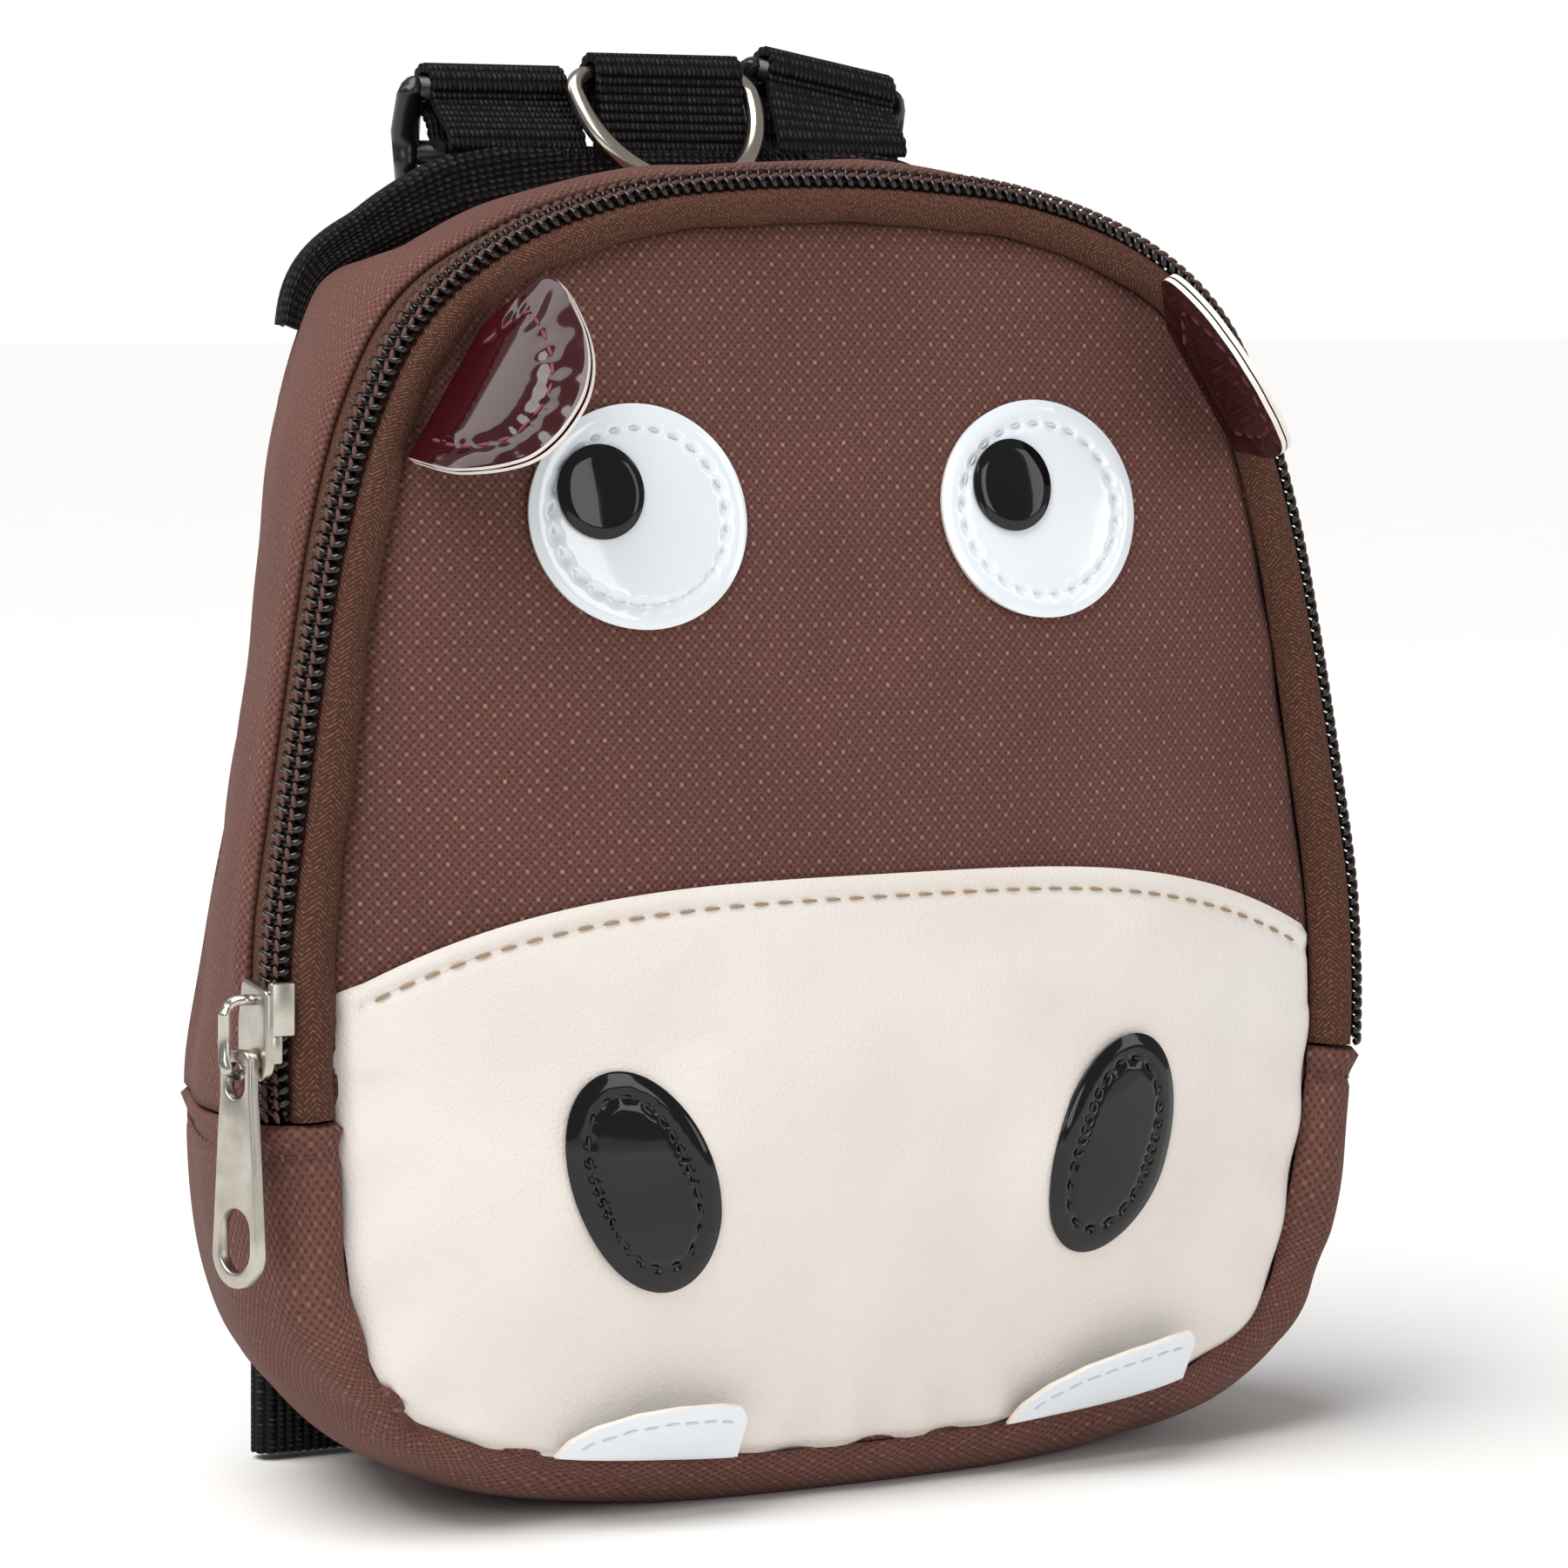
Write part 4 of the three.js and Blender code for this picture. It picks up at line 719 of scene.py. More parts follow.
def look_plain(name, colour, tint, roughness, scale, deep, coat=0.0):
    """Thread, coil or moulded plastic: one colour with fine unevenness and its own gloss."""
    look, tree = begin(name)
    spot = node(tree, "ShaderNodeTexCoord", out=3)
    grain = node(tree, NOISE, {"Vector": spot, "Scale": scale, "Detail": 3.0})
    base = node(tree, MIX, {"Factor": grain, 6: linear(colour), 7: linear(tint)}, out=2,
                data_type="RGBA")
    normal = node(tree, BUMP, {"Height": grain, "Distance": deep * MM, "Strength": 1.0})
    end(tree, base, roughness, normal, Coat_Weight=coat, Coat_Roughness=0.1)
    return look


# Cloth colours: painted shade in the pits, the cloth's own brown, and a painted highlight on the raised
# crossings.
CLOTH_LOOK = look_cloth("brown_woven_polyester", "#331c19", "#67443e", "#a98674", 2.2, 2.3, 0.04)
SIDE_LOOK = look_cloth("brown_woven_polyester_side", "#371f1b", "#6a473f", "#8d6b5f", 2.2, 2.3,
                       0.04)
# Tape colours: painted shade in the twill grooves and a painted highlight on the raised lines.
TAPE_LOOK = look_twill("brown_twill_zip_tape", "#44291f", "#7d5645", 0.62, 1.55, 0.02)
# Webbing colours: the black of the webbing and a painted highlight at the dots.
WEB_LOOK = look_webbing("black_polypropylene_webbing", "#070506", "#4f484b", RIB_PITCH, 0.75)
CREAM_LOOK = look_skin("cream_leathercloth", "#e2dcd6", "#ded5cd", 0.9, 0.035, 0.42, 0.15, 0.05)
WHITE_LOOK = look_skin("white_patent", "#e9eef3", "#e2e8ee", 3.0, 0.0, 0.12, 0.8, 0.05)
BLACK_LOOK = look_skin("black_patent", "#0b0a0b", "#100e0f", 3.0, 0.0, 0.09, 0.6, 0.1, 0.1)
MAROON_LOOK = look_skin("maroon_patent", "#2c080d", "#360b11", 3.0, 0.0, 0.09, 0.8, 0.05, 0.1)
EDGE_LOOK = look_plain("white_cut_edge", "#f2ece6", "#e3dad2", 0.6, 900.0, 0.02)
CREAM_EDGE_LOOK = look_plain("cream_cut_edge", "#f1e7dc", "#e0d2c4", 0.6, 900.0, 0.02)
METAL_LOOK = look_metal("nickel_plate", "#cbc6bd", "#a59f95", 0.26, 0.004)
RING_LOOK = look_metal("nickel_plate_wire", "#d6cdc0", "#bdb2a3", 0.18, 0.002)
COIL_LOOK = look_plain("dark_nylon_coil", "#0d0908", "#191110", 0.2, 1200.0, 0.01)
LOCK_LOOK = look_plain("black_acetal", "#0c0c0d", "#131214", 0.28, 900.0, 0.008)
THREAD_LOOK = look_plain("brown_thread", "#452920", "#5f3e33", 0.7, 2500.0, 0.03)
TAN_THREAD_LOOK = look_plain("tan_thread", "#8f7253", "#a98a6a", 0.7, 2500.0, 0.03)
WHITE_THREAD_LOOK = look_plain("white_thread", "#dde1e5", "#c6cad0", 0.6, 2500.0, 0.03)
BLACK_THREAD_LOOK = look_plain("black_thread", "#0c0a0b", "#1c191a", 0.5, 2500.0, 0.03)
MAROON_THREAD_LOOK = look_plain("maroon_thread", "#55202a", "#7e3a45", 0.6, 2500.0, 0.03)

FORWARD = lambda _: (0, -1, 0)


def outwards(spot):
    return Vector((spot[0], 0, spot[2] - CENTRE_Z * MM))


# Face
def panel_place(u, v):
    share, angle = disc(u, v)
    reach = outline_radius(angle) * PANEL_EDGE
    x, z = reach * share * np.cos(angle), CENTRE_Z + reach * share * np.sin(angle)
    rim = (1 - share) * reach
    around = angle * reach
    pucker = 0.22 * np.sin(around / 3.1) * ridge(rim, 1.5, 4) \
        + 0.4 * np.sin(around / 7.3 + 1) * ridge(rim, 0, 9) * smooth(z, 60, 10)
    lie = 0.45 * unevenness(x, z) * smooth(rim, 2, 22)
    y = front_y(x, z) + 1.0 * np.exp(-(rim / 1.4) ** 2) - pucker - lie
    return np.stack([x, y, z], 1)


def build_panel():
    panel = cloth_grid(128, 128, panel_place,
                       lambda u, v: panel_place(u, v)[:, [0, 2]], FORWARD)
    add_piece("front_panel_cloth", panel, [CLOTH_LOOK], ["front_panel"], wall=CLOTH)


MUZZLE_CORNER = math.atan2(muzzle_top(FRONT["half"]) - MUZZLE["z"], FRONT["half"] - 0.6)


def muzzle_place(u, v):
    share, angle = disc(u, v)
    quarter = math.pi / 4
    angle = np.where(angle < -3 * quarter, angle + 2 * math.pi, angle)
    angle = np.interp(angle, [-3 * quarter, -quarter, quarter, 3 * quarter, 5 * quarter],
                      [-3 * quarter, -quarter, MUZZLE_CORNER, math.pi - MUZZLE_CORNER,
                       5 * quarter])
    reach = muzzle_radius(angle)
    x, z = reach * share * np.cos(angle), MUZZLE["z"] + reach * share * np.sin(angle)
    from_centre = np.hypot(x, z - CENTRE_Z)
    seam = outline_radius(np.arctan2(z - CENTRE_Z, x)) * MUZZLE_EDGE - from_centre
    down = muzzle_top(x) - z
    pull = 0.32 * (1 + 0.4 * np.sin(x * 2 * math.pi / 3.4))
    stand = MUZZLE_STAND - pull * ridge(down, 2.9, 0.75) + 0.22 * ridge(down, 1.2, 0.9)
    stand = stand - 2.0 * np.exp(-(np.maximum(seam, 0) / 1.1) ** 2)
    gather = 0.5 * np.sin(np.arctan2(z - CENTRE_Z, x) * 34) * ridge(seam, 0, 7) * (z < 60)
    lie = 0.6 * unevenness(x + 40, z * 1.3) * smooth(seam, 2, 16) * smooth(down, 3, 14)
    return np.stack([x, front_y(x, z) - stand - lie - gather, z], 1)


def build_muzzle():
    cloth = cloth_grid(120, 120, muzzle_place, lambda u, v: muzzle_place(u, v)[:, [0, 2]],
                       FORWARD)
    add_piece("muzzle_leathercloth", cloth, [CREAM_LOOK, CREAM_EDGE_LOOK], ["muzzle"],
              wall=0.9, bevel=0.18)
    x = np.linspace(-69.5, 69.5, 600)
    z = muzzle_top(x) - 2.9
    line = np.stack([x, front_y(x, z) - MUZZLE_STAND + 0.12, z], 1)
    spots, along = paced(line, 3.4)
    bm = bmesh.new()
    bead_row(bm, spots, along, front_normal(spots[:, 0], spots[:, 2]), (2.3, 0.45, 0.4))
    add_piece("muzzle_stitches", bm, [TAN_THREAD_LOOK])


def oval_radius(size, turn=0):
    return lambda angle: 1 / np.hypot(np.cos(angle - turn) / size["wide"],
                                      np.sin(angle - turn) / size["tall"])


def build_patch(name, node_name, x, size, turn, stand, look, ring, dent, crown, cells,
                stitches):
    """A cut patch on the front: ring is the stitch line's distance from the rim."""
    radius = oval_radius(size, turn)
    wall = 0.7

    def place(u, v):
        share, angle = disc(u, v)
        reach = radius(angle)
        px, pz = x + reach * share * np.cos(angle), size["z"] + reach * share * np.sin(angle)
        rim = (1 - share) * reach
        rise = stand + crown * (1 - share ** 2) - 0.25 * np.exp(-(rim / 0.8) ** 2)
        if ring:
            pits = 1 + 0.6 * np.sin(angle * round(2 * math.pi * (size["tall"] - ring) / 2.8))
            rise = rise - dent * pits * ridge(rim, ring, 0.55)
        return np.stack([px, front_y(px, pz) - rise, pz], 1)

    patch = cloth_grid(cells, cells, place, lambda u, v: place(u, v)[:, [0, 2]], FORWARD)
    add_piece(name, patch, [look[0], look[1]], [node_name], wall=wall, bevel=0.16)
    if not ring:
        return
    angle = np.linspace(0, 2 * math.pi, 400)
    reach = radius(angle) - ring
    px, pz = x + reach * np.cos(angle), size["z"] + reach * np.sin(angle)
    share = reach / radius(angle)
    line = np.stack([px, front_y(px, pz) - stand - crown * (1 - share ** 2) + dent * 0.8, pz], 1)
    spots, along = paced(line, 2.8)
    bm = bmesh.new()
    bead_row(bm, spots, along, front_normal(spots[:, 0], spots[:, 2]), stitches[0])
    add_piece(name + "_stitches", bm, [stitches[1]])


def build_face():
    for name, sign in SIDES:
        build_patch(f"eye_{name}", f"eye_white_{name}", EYE[name], EYE, 0, 1.15,
                    (WHITE_LOOK, EDGE_LOOK), 3.1, 0.4, 0.2, 64,
                    ((1.5, 0.4, 0.35), WHITE_THREAD_LOOK))
        build_patch(f"pupil_disc_{name}", f"pupil_{name}", PUPIL[name], PUPIL, 0, 2.1,
                    (BLACK_LOOK, BLACK_LOOK), 0, 0, 0.45, 36, None)
        build_patch(f"nostril_patch_{name}", f"nostril_{name}", NOSTRIL[name], NOSTRIL,
                    -sign * NOSTRIL["turn"], 2.35, (BLACK_LOOK, BLACK_LOOK), 3.4,
                    0.4, 0.35, 56, ((2.1, 0.6, 0.45), BLACK_THREAD_LOOK))


# Ears and teeth: two layers of patent laid back to back, with pale cut edges.
def build_layers(name, node_name, place, look, wall, rows, columns, edge=EDGE_LOOK):
    whole = bmesh.new()
    for lift, side in ((wall / 2 + 0.06, 1), (-wall / 2 - 0.06, -1)):
        middle = place(np.array([0.5]), np.array([0.5]), lift * 2)[0] \
            - place(np.array([0.5]), np.array([0.5]), -lift * 2)[0]
        layer = cloth_grid(columns, rows, lambda u, v: place(u, v, lift * 2),
                           lambda u, v: place(u, v, 0)[:, [1, 2]], lambda _: middle)
        mesh = bpy.data.meshes.new("layer")
        layer.to_mesh(mesh)
        layer.free()
        whole.from_mesh(mesh)
        bpy.data.meshes.remove(mesh)
    return add_piece(name, whole, [look, edge], [node_name], wall=wall, bevel=0.12)


def ear_frame(sign):
    foot = np.array((sign * EAR_FOOT[0], seam_y(EAR_FOOT[1]), EAR_FOOT[1]))
    top = np.array((sign * EAR_TOP[0], seam_y(EAR_TOP[1]), EAR_TOP[1]))
    length = np.linalg.norm(top - foot)
    along = (top - foot) / length
    out = np.array((-sign * EAR_LEAN[sign], -1, 0))
    out = unit(out - along * out.dot(along))
    return foot, length, along, out, unit(np.cross(along, out))


def ear_spot(sign, share, angle, lift):
    foot, length, along, out, face = ear_frame(sign)
    rim = curve_points(EAR_LEAF, (angle / (2 * math.pi)) % 1, even=True)
    flat = EAR_MIDDLE + (rim - EAR_MIDDLE) * share[:, None]
    curl = EAR_CURL * np.sin(math.pi * np.clip(flat[:, 1], 0, 1))
    rim_mm = (1 - share) * 10
    dent = (0.26 + 0.06 * np.sin(angle * 17)) * ridge(rim_mm, 3.1, 0.9)
    rumple = 0.05 * np.sin(angle * 11 + 1) * ridge(rim_mm, 1.4, 1.3)
    push = lift + sign * curl * 0.5 - np.sign(lift) * dent + rumple
    return foot + along * (flat[:, :1] * length) \
        + out * (np.maximum(flat[:, 1:], 0.03) * EAR_REACH + 0.9) + face * push[:, None]


def build_ears():
    for name, sign in SIDES:
        build_layers(f"ear_leaf_{name}", f"ear_{name}",
                     lambda u, v, lift: ear_spot(sign, *disc(u, v), lift), MAROON_LOOK,
                     0.66, 44, 44)
        face = ear_frame(sign)[4]
        bm = bmesh.new()
        angle = np.linspace(0.02, 2 * math.pi * 0.98, 300)
        for side in (1, -1):
            line = ear_spot(sign, angle * 0 + 0.69, angle, side * 0.8)
            spots, along = paced(line, 2.9)
            bead_row(bm, spots, along, np.tile(face * side, (len(spots), 1)), (2.2, 0.6, 0.45))
        add_piece(f"ear_stitches_{name}", bm, [MAROON_THREAD_LOOK])


def bottom_seam_z(x):
    t = np.linspace(0, 0.2, 400)
    right, left = front_seam(t), front_seam(-t)
    return np.where(x >= 0, np.interp(np.abs(x), right[:, 0], right[:, 2]),
                    np.interp(np.abs(x), -left[:, 0], left[:, 2]))


def tooth_spot(name, along, share, lift):
    start, stop, up = TOOTH_SPAN[name]
    x = start + (stop - start) * along
    rise = up * np.interp(along, TOOTH_RISE[:, 0], TOOTH_RISE[:, 1]) * share
    foot = bottom_seam_z(x) + 0.4
    bow = TOOTH_BOW * (rise / up) * (1 - (2 * along - 1) ** 2)
    y = seam_y(foot) - 2.9 - lift - bow - TOOTH_LEAN * rise
    return np.stack([x, y, foot + math.sqrt(1 - TOOTH_LEAN ** 2) * rise], 1)


def build_teeth():
    for name, _ in SIDES:
        squeeze = lambda u: np.where(u < 0.8, u / 0.8 * 0.9, 0.9 + (u - 0.8) / 0.2 * 0.1)
        build_layers(f"tooth_flap_{name}", f"tooth_{name}",
                     lambda u, v, lift: tooth_spot(name, squeeze(u), v, lift), WHITE_LOOK,
                     0.55, 12, 48, CREAM_EDGE_LOOK)
        along = np.linspace(0.1, 0.92, 200)
        inner = 1 - 2.6 / (TOOTH_SPAN[name][2] * np.interp(along, *TOOTH_RISE.T))
        line = tooth_spot(name, along, np.maximum(inner, 0.05), 0.75)
        spots, ahead = paced(line, 2.7)
        up = np.tile((0, -math.sqrt(1 - TOOTH_LEAN ** 2), -TOOTH_LEAN), (len(spots), 1))
        bm = bmesh.new()
        bead_row(bm, spots, ahead, up, (2.0, 0.5, 0.35))
        add_piece(f"tooth_stitches_{name}", bm, [WHITE_THREAD_LOOK])


# Sides
def side_flat(start, stop, rows):
    steps = np.linspace(rows[0], rows[1], 60)
    line = side_skin(0.72 + steps * 0, steps)
    far = np.concatenate([[0], np.cumsum(np.linalg.norm(np.diff(line, axis=0), axis=1))])

    def flat(u, v):
        return np.stack([(start + (stop - start) * u) * SEAM_LENGTH,
                         np.interp(rows[0] + (rows[1] - rows[0]) * v, steps, far)], 1)
    return flat


def build_side(name, node_name, start, stop, rows, lift, look, slot, cells, wall=CLOTH):
    """A strip of the side between two seam places and rows; lift(t, row) stands it out in mm."""
    flat = side_flat(start, stop, rows)

    def place(u, v):
        t, row = start + (stop - start) * u, rows[0] + (rows[1] - rows[0]) * v
        spots = side_skin(t, row) + side_normal(t, row) * lift(t, row)[:, None]
        spots[:, 2] = np.maximum(spots[:, 2], 0)
        return spots

    sheet = cloth_grid(cells[0], cells[1], place, flat, outwards)
    add_piece(name, sheet, [look], [node_name], wall=wall)


def zip_end_distance(t):
    t = t % 1
    return np.minimum(np.abs(t - ZIP_T), np.abs(1 - t - ZIP_T)) * SEAM_LENGTH


def tape_lift(t, row):
    far = t * SEAM_LENGTH
    puff = 0.55 * np.sin(math.pi * np.clip((row - 0.2) / 2.7, 0, 1))
    wavy = (0.22 * np.sin(far / 4.7) + 0.16 * np.sin(far / 2.1 + 1)) * ridge(row, 0.5, 0.8)
    tuck = -0.2 * np.exp(-((row - 0.05) / 0.22) ** 2) - 1.0 * smooth(row, 2.75, 3.2)
    return puff + wavy + tuck


def gusset_lift(t, row):
    far = t * SEAM_LENGTH
    edge = GUSSET_ROWS[0]
    hem = 0.25 * ridge(row, edge + 0.4, 0.25) - 0.5 * np.exp(-((row - edge) / 0.12) ** 2)
    lie = 0.55 * unevenness(far, row * 7) * smooth(row, edge + 0.3, edge + 1.5)
    slack = 0.5 * np.sin(far / 5.5 + row) * ridge(row, 10.6, 1.2) * 0.5
    return hem + lie + slack + fold_at(t, row, CREASES)


def lower_lift(t, row):
    near = zip_end_distance(t)
    lip = 0.75 * ridge(near, 0.7, 0.9) - 0.45 * ridge(near, 2.9, 0.6) - 0.8 * ridge(near, 0, 0.25)
    far = ((t + 0.5) % 1 - 0.5) * SEAM_LENGTH
    tuck = -0.2 * np.exp(-((row - 0.05) / 0.22) ** 2)
    gather = 0.5 * np.sin(far / 2.3 + np.sin(far / 9)) * ridge(row, 0.8, 1.1)
    lie = 0.6 * unevenness(far, row * 7) * smooth(row, 0.5, 2) * smooth(11 - row, 0.3, 2)
    flat = smooth(side_skin(t, row)[:, 2], 0.2, 6)
    return lip + (tuck + gather + lie) * flat + fold_at(t, row, CREASES)


def build_sides():
    ends = (ZIP_T + GAP_T, 1 - ZIP_T - GAP_T)
    build_side("zip_tape_front_twill", "zip_tape_front", *ends, TAPE_ROWS, tape_lift, TAPE_LOOK,
               "brown_twill_tape", (300, 16), 0.9)
    build_side("zip_tape_rear_twill", "zip_tape_rear", *ends, REAR_TAPE_ROWS,
               lambda t, row: -0.9 - 0.5 * smooth(row, 5.4, 5.9) + 0 * t, TAPE_LOOK,
               "brown_twill_tape", (260, 8), 0.8)
    build_side("gusset_upper_cloth", "gusset_upper", *ends, GUSSET_ROWS, gusset_lift, SIDE_LOOK,
               "brown_cloth", (300, 64))
    build_side("gusset_lower_cloth", "gusset_lower", -ZIP_T, ZIP_T, LOWER_ROWS, lower_lift,
               SIDE_LOOK, "brown_cloth", (230, 84))
    bm = bmesh.new()
    for t in (ZIP_T - 2.9 / SEAM_LENGTH, 1 - ZIP_T + 2.9 / SEAM_LENGTH):
        rows = np.linspace(0.5, 10.6, 300)
        line = side_skin(t + rows * 0, rows) - side_normal(t + rows * 0, rows) * 0.2
        spots, along = paced(line, 2.6)
        up = outward_at(t + spots[:, 0] * 0)
        bead_row(bm, spots, along, up, (2.0, 0.5, 0.4))
    add_piece("gusset_end_stitches", bm, [THREAD_LOOK])


def build_back():
    def place(u, v):
        share, angle = disc(u, v)
        reach = np.interp(angle, BACK_ANGLE, BACK_RADIUS, period=2 * math.pi) * share * 0.994
        x, z = reach * np.cos(angle), CENTRE_Z + reach * np.sin(angle)
        lie = 0.4 * unevenness(x, z) * (1 - share ** 4)
        y = BACK["y"] + GAP + 1.6 + BACK["swell"] * (1 - share ** 3) + lie \
            - 1.2 * np.exp(-((1 - share) * 70 / 1.5) ** 2)
        return np.stack([x, y, z], 1)

    back = cloth_grid(72, 72, place, lambda u, v: place(u, v)[:, [0, 2]], lambda _: (0, 1, 0))
    add_piece("back_panel_cloth", back, [CLOTH_LOOK], ["back_panel"], wall=CLOTH)


BACK_RIM = back_seam(np.linspace(0, 1, 721))
BACK_ANGLE = np.arctan2(BACK_RIM[:, 2] - CENTRE_Z, BACK_RIM[:, 0])
BACK_RADIUS = np.hypot(BACK_RIM[:, 0], BACK_RIM[:, 2] - CENTRE_Z)


# Zip
def chain_frames(t):
    at, up = side_skin(t, CHAIN_ROW), side_normal(t, CHAIN_ROW)
    along = unit(side_skin(t + 0.002, CHAIN_ROW) - side_skin(t - 0.002, CHAIN_ROW))
    across = unit(np.cross(up, along))
    return at, across, unit(np.cross(along, across)), along


def build_zip():
    table = np.linspace(ZIP_T + GAP_T, 1 - ZIP_T - GAP_T, 1200)
    middle = side_skin(table, CHAIN_ROW)
    far = np.concatenate([[0], np.cumsum(np.linalg.norm(np.diff(middle, axis=0), axis=1))])
    turns = int(far[-1] / COIL_PITCH)
    frames = chain_frames(table)
    read = lambda mm: [np.stack([np.interp(mm, far, part[:, k]) for k in range(3)], 1)
                       for part in frames]
    meshes = []
    for side, start in ((1, 0), (-1, 0.5)):
        angle = np.arange(turns * 9) / 9 * 2 * math.pi
        mm = (angle / (2 * math.pi) + start + 0.2) * far[-1] / (turns + 0.8)
        at, across, up, _ = read(mm)
        reach = side * (0.82 + 1.12 * np.cos(angle))
        high = 0.18 + 0.52 * np.sin(angle)
        spots = at + across * reach[:, None] + up * high[:, None]
        radii = 1 + 0.32 * np.cos(angle)
        meshes.append(wire_mesh(spots, 0.4, radii=radii, fineness=1))
    add_piece("zip_coils", joined(*meshes), [COIL_LOOK], ["zip_chain"])
    bm = bmesh.new()
    count = int(far[-1] / COIL_PITCH)
    mm = (np.arange(count) + 0.5) * far[-1] / count
    at, across, up, along = read(mm)
    for shift in (0.88, -0.92):
        lean = unit(along + across * 0.35)
        bead_row(bm, at + across * shift + up * 0.92, lean, up, (1.75, 0.72, 0.55))
    add_piece("zip_chain_threads", bm, [THREAD_LOOK])


def slider_matrix():
    low, high = 0.5, 1 - ZIP_T
    for _ in range(40):
        middle = (low + high) / 2
        over = side_skin(np.array([middle]), CHAIN_ROW)[0, 2] > SLIDER_Z
        low, high = (middle, high) if over else (low, middle)
    spot, _, up, _ = [part[0] for part in chain_frames(np.array([low]))]
    above = unit(side_skin(np.array([low - 0.008]), CHAIN_ROW)[0]
                 - side_skin(np.array([low + 0.008]), CHAIN_ROW)[0])
    across = unit(np.cross(above, up))
    outward = unit(np.cross(across, above))
    seat = Matrix((across, -outward, above)).transposed().to_4x4()
    return Matrix.Translation(Vector(spot) * MM) @ seat @ Matrix.Rotation(SLIDER["turn"], 4, "Z")


def arc(x, z, radius, start, stop, count):
    return [(x + radius * math.cos(a), z + radius * math.sin(a))
            for a in np.linspace(start, stop, count)]


def build_slider():
    seat = slider_matrix()
    flat_to_seat = Matrix.Rotation(math.pi / 2, 4, "X")
    half, long, above, plate = SLIDER["wide"] / 2, SLIDER["long"], SLIDER["above"], SLIDER["plate"]
    quarter = math.pi / 2
    outline = [*arc(half - 0.8, long / 2 - 1.9, 0.8, 0, quarter, 5),
               *arc(-half + 1.7, long / 2 - 0.8, 0.8, quarter, 2 * quarter, 5),
               (-half, long * 0.1), (-half, -long * 0.2),
               *arc(-half + 2.6, -long / 2 + 2.6, 2.6, 2 * quarter, 3 * quarter, 7),
               *arc(half - 2.6, -long / 2 + 2.6, 2.6, 3 * quarter, 4 * quarter, 7),
               (half, -long * 0.1)]
    lift = Matrix.Translation((0, -(above + plate / 2) * MM, 0))
    parts = [plate_mesh(outline, [], plate, 0.3, seat @ lift @ flat_to_seat)]
    bm = bmesh.new()
    # The edges that fold in towards the tape: side, depth, low, high and thickness.
    for side, deep, low, high, thick in ((1, 2.8, -0.6, 6.1, 1.1), (1, 1.1, -4, -0.4, 0.9),
                                         (-1, 0.5, -4, 5, 0.8)):
        block = seat @ Matrix.Translation(Vector((side * (half - thick / 2), -above + deep / 2 - 0.3,
                                                  (low + high) / 2)) * MM)
        made = bmesh.ops.create_cube(bm, size=1, matrix=block @ Matrix.Diagonal(
            (thick * MM, (deep + 0.6) * MM, (high - low) * MM, 1)))
        edges = list({e for v in made["verts"] for e in v.link_edges})
        bmesh.ops.bevel(bm, geom=edges, offset=0.32 * MM, segments=3, profile=0.5, material=-1,
                        affect="EDGES")
    top = above + plate + BAIL["rise"]
    corner, low, high = BAIL["corner"], BAIL["low"], BAIL["high"]
    bend = [(corner * (1 - math.cos(a)), corner * (1 - math.sin(a)))
            for a in np.linspace(0, quarter, 7)]
    path = [(low, -above - plate / 2)] + [(low + z, y - top) for z, y in bend] \
        + [(high - z, y - top) for z, y in bend[::-1]] + [(high, -above - plate / 2)]
    rings = []
    for i, (z, y) in enumerate(path):
        (z0, y0), (z1, y1) = path[max(0, i - 1)], path[min(len(path) - 1, i + 1)]
        ahead = Vector((0, y1 - y0, z1 - z0)).normalized()
        level = Vector((1, 0, 0)).cross(ahead)
        rings.append(seat @ frame_matrix((0, y, z), Vector((1, 0, 0)), level, ahead,
                                         (BAIL["half"], BAIL["wire"], 1)))
    loft(bm, rings, 16)
    bail = bpy.data.meshes.new("bail")
    bm.to_mesh(bail)
    bm.free()
    add_piece("zip_slider_body", joined(*parts, bail), [METAL_LOOK], ["zip_slider"])

    top, end = 0.75, 0.75 - PULL["long"] + PULL["wide"] / 2
    neck = PULL["neck"] / 2
    outline = [*arc(neck - 1.4, top - 1.4, 1.4, 0, quarter, 6),
               *arc(-neck + 1.4, top - 1.4, 1.4, quarter, 2 * quarter, 6),
               (-neck, -5), (-neck - 0.35, -8),
               *arc(0, end, PULL["wide"] / 2, 2 * quarter, 4 * quarter, 25),
               (neck + 0.35, -8), (neck, -5)]
    slot_low, slot_high, slot = -0.75 - PULL["hole_long"], -0.75, PULL["hole"]
    eye_low = top - PULL["long"] + PULL_EYE["from_end"]
    eye = PULL_EYE["wide"] / 2
    holes = [arc(0, slot_high - slot, slot, 0, 2 * quarter, 11)
             + arc(0, slot_low + slot, slot, 2 * quarter, 4 * quarter, 11),
             arc(0, eye_low + PULL_EYE["tall"] - eye, eye, 0, 2 * quarter, 15)
             + arc(0, eye_low + eye, eye, 2 * quarter, 4 * quarter, 15)]
    out = above + plate + PULL_PIVOT["out"]
    hang = Matrix.Translation(Vector((PULL_PIVOT["side"], -out, PULL_PIVOT["up"])) * MM) \
        @ Matrix.Rotation(PULL_PIVOT["turn"], 4, "Z")
    pull = plate_mesh(outline, holes, PULL["thick"], 0.32, seat @ hang @ flat_to_seat)
    add_piece("zip_pull_tab", joined(pull), [METAL_LOOK], ["zip_pull"], body="zip_pull")


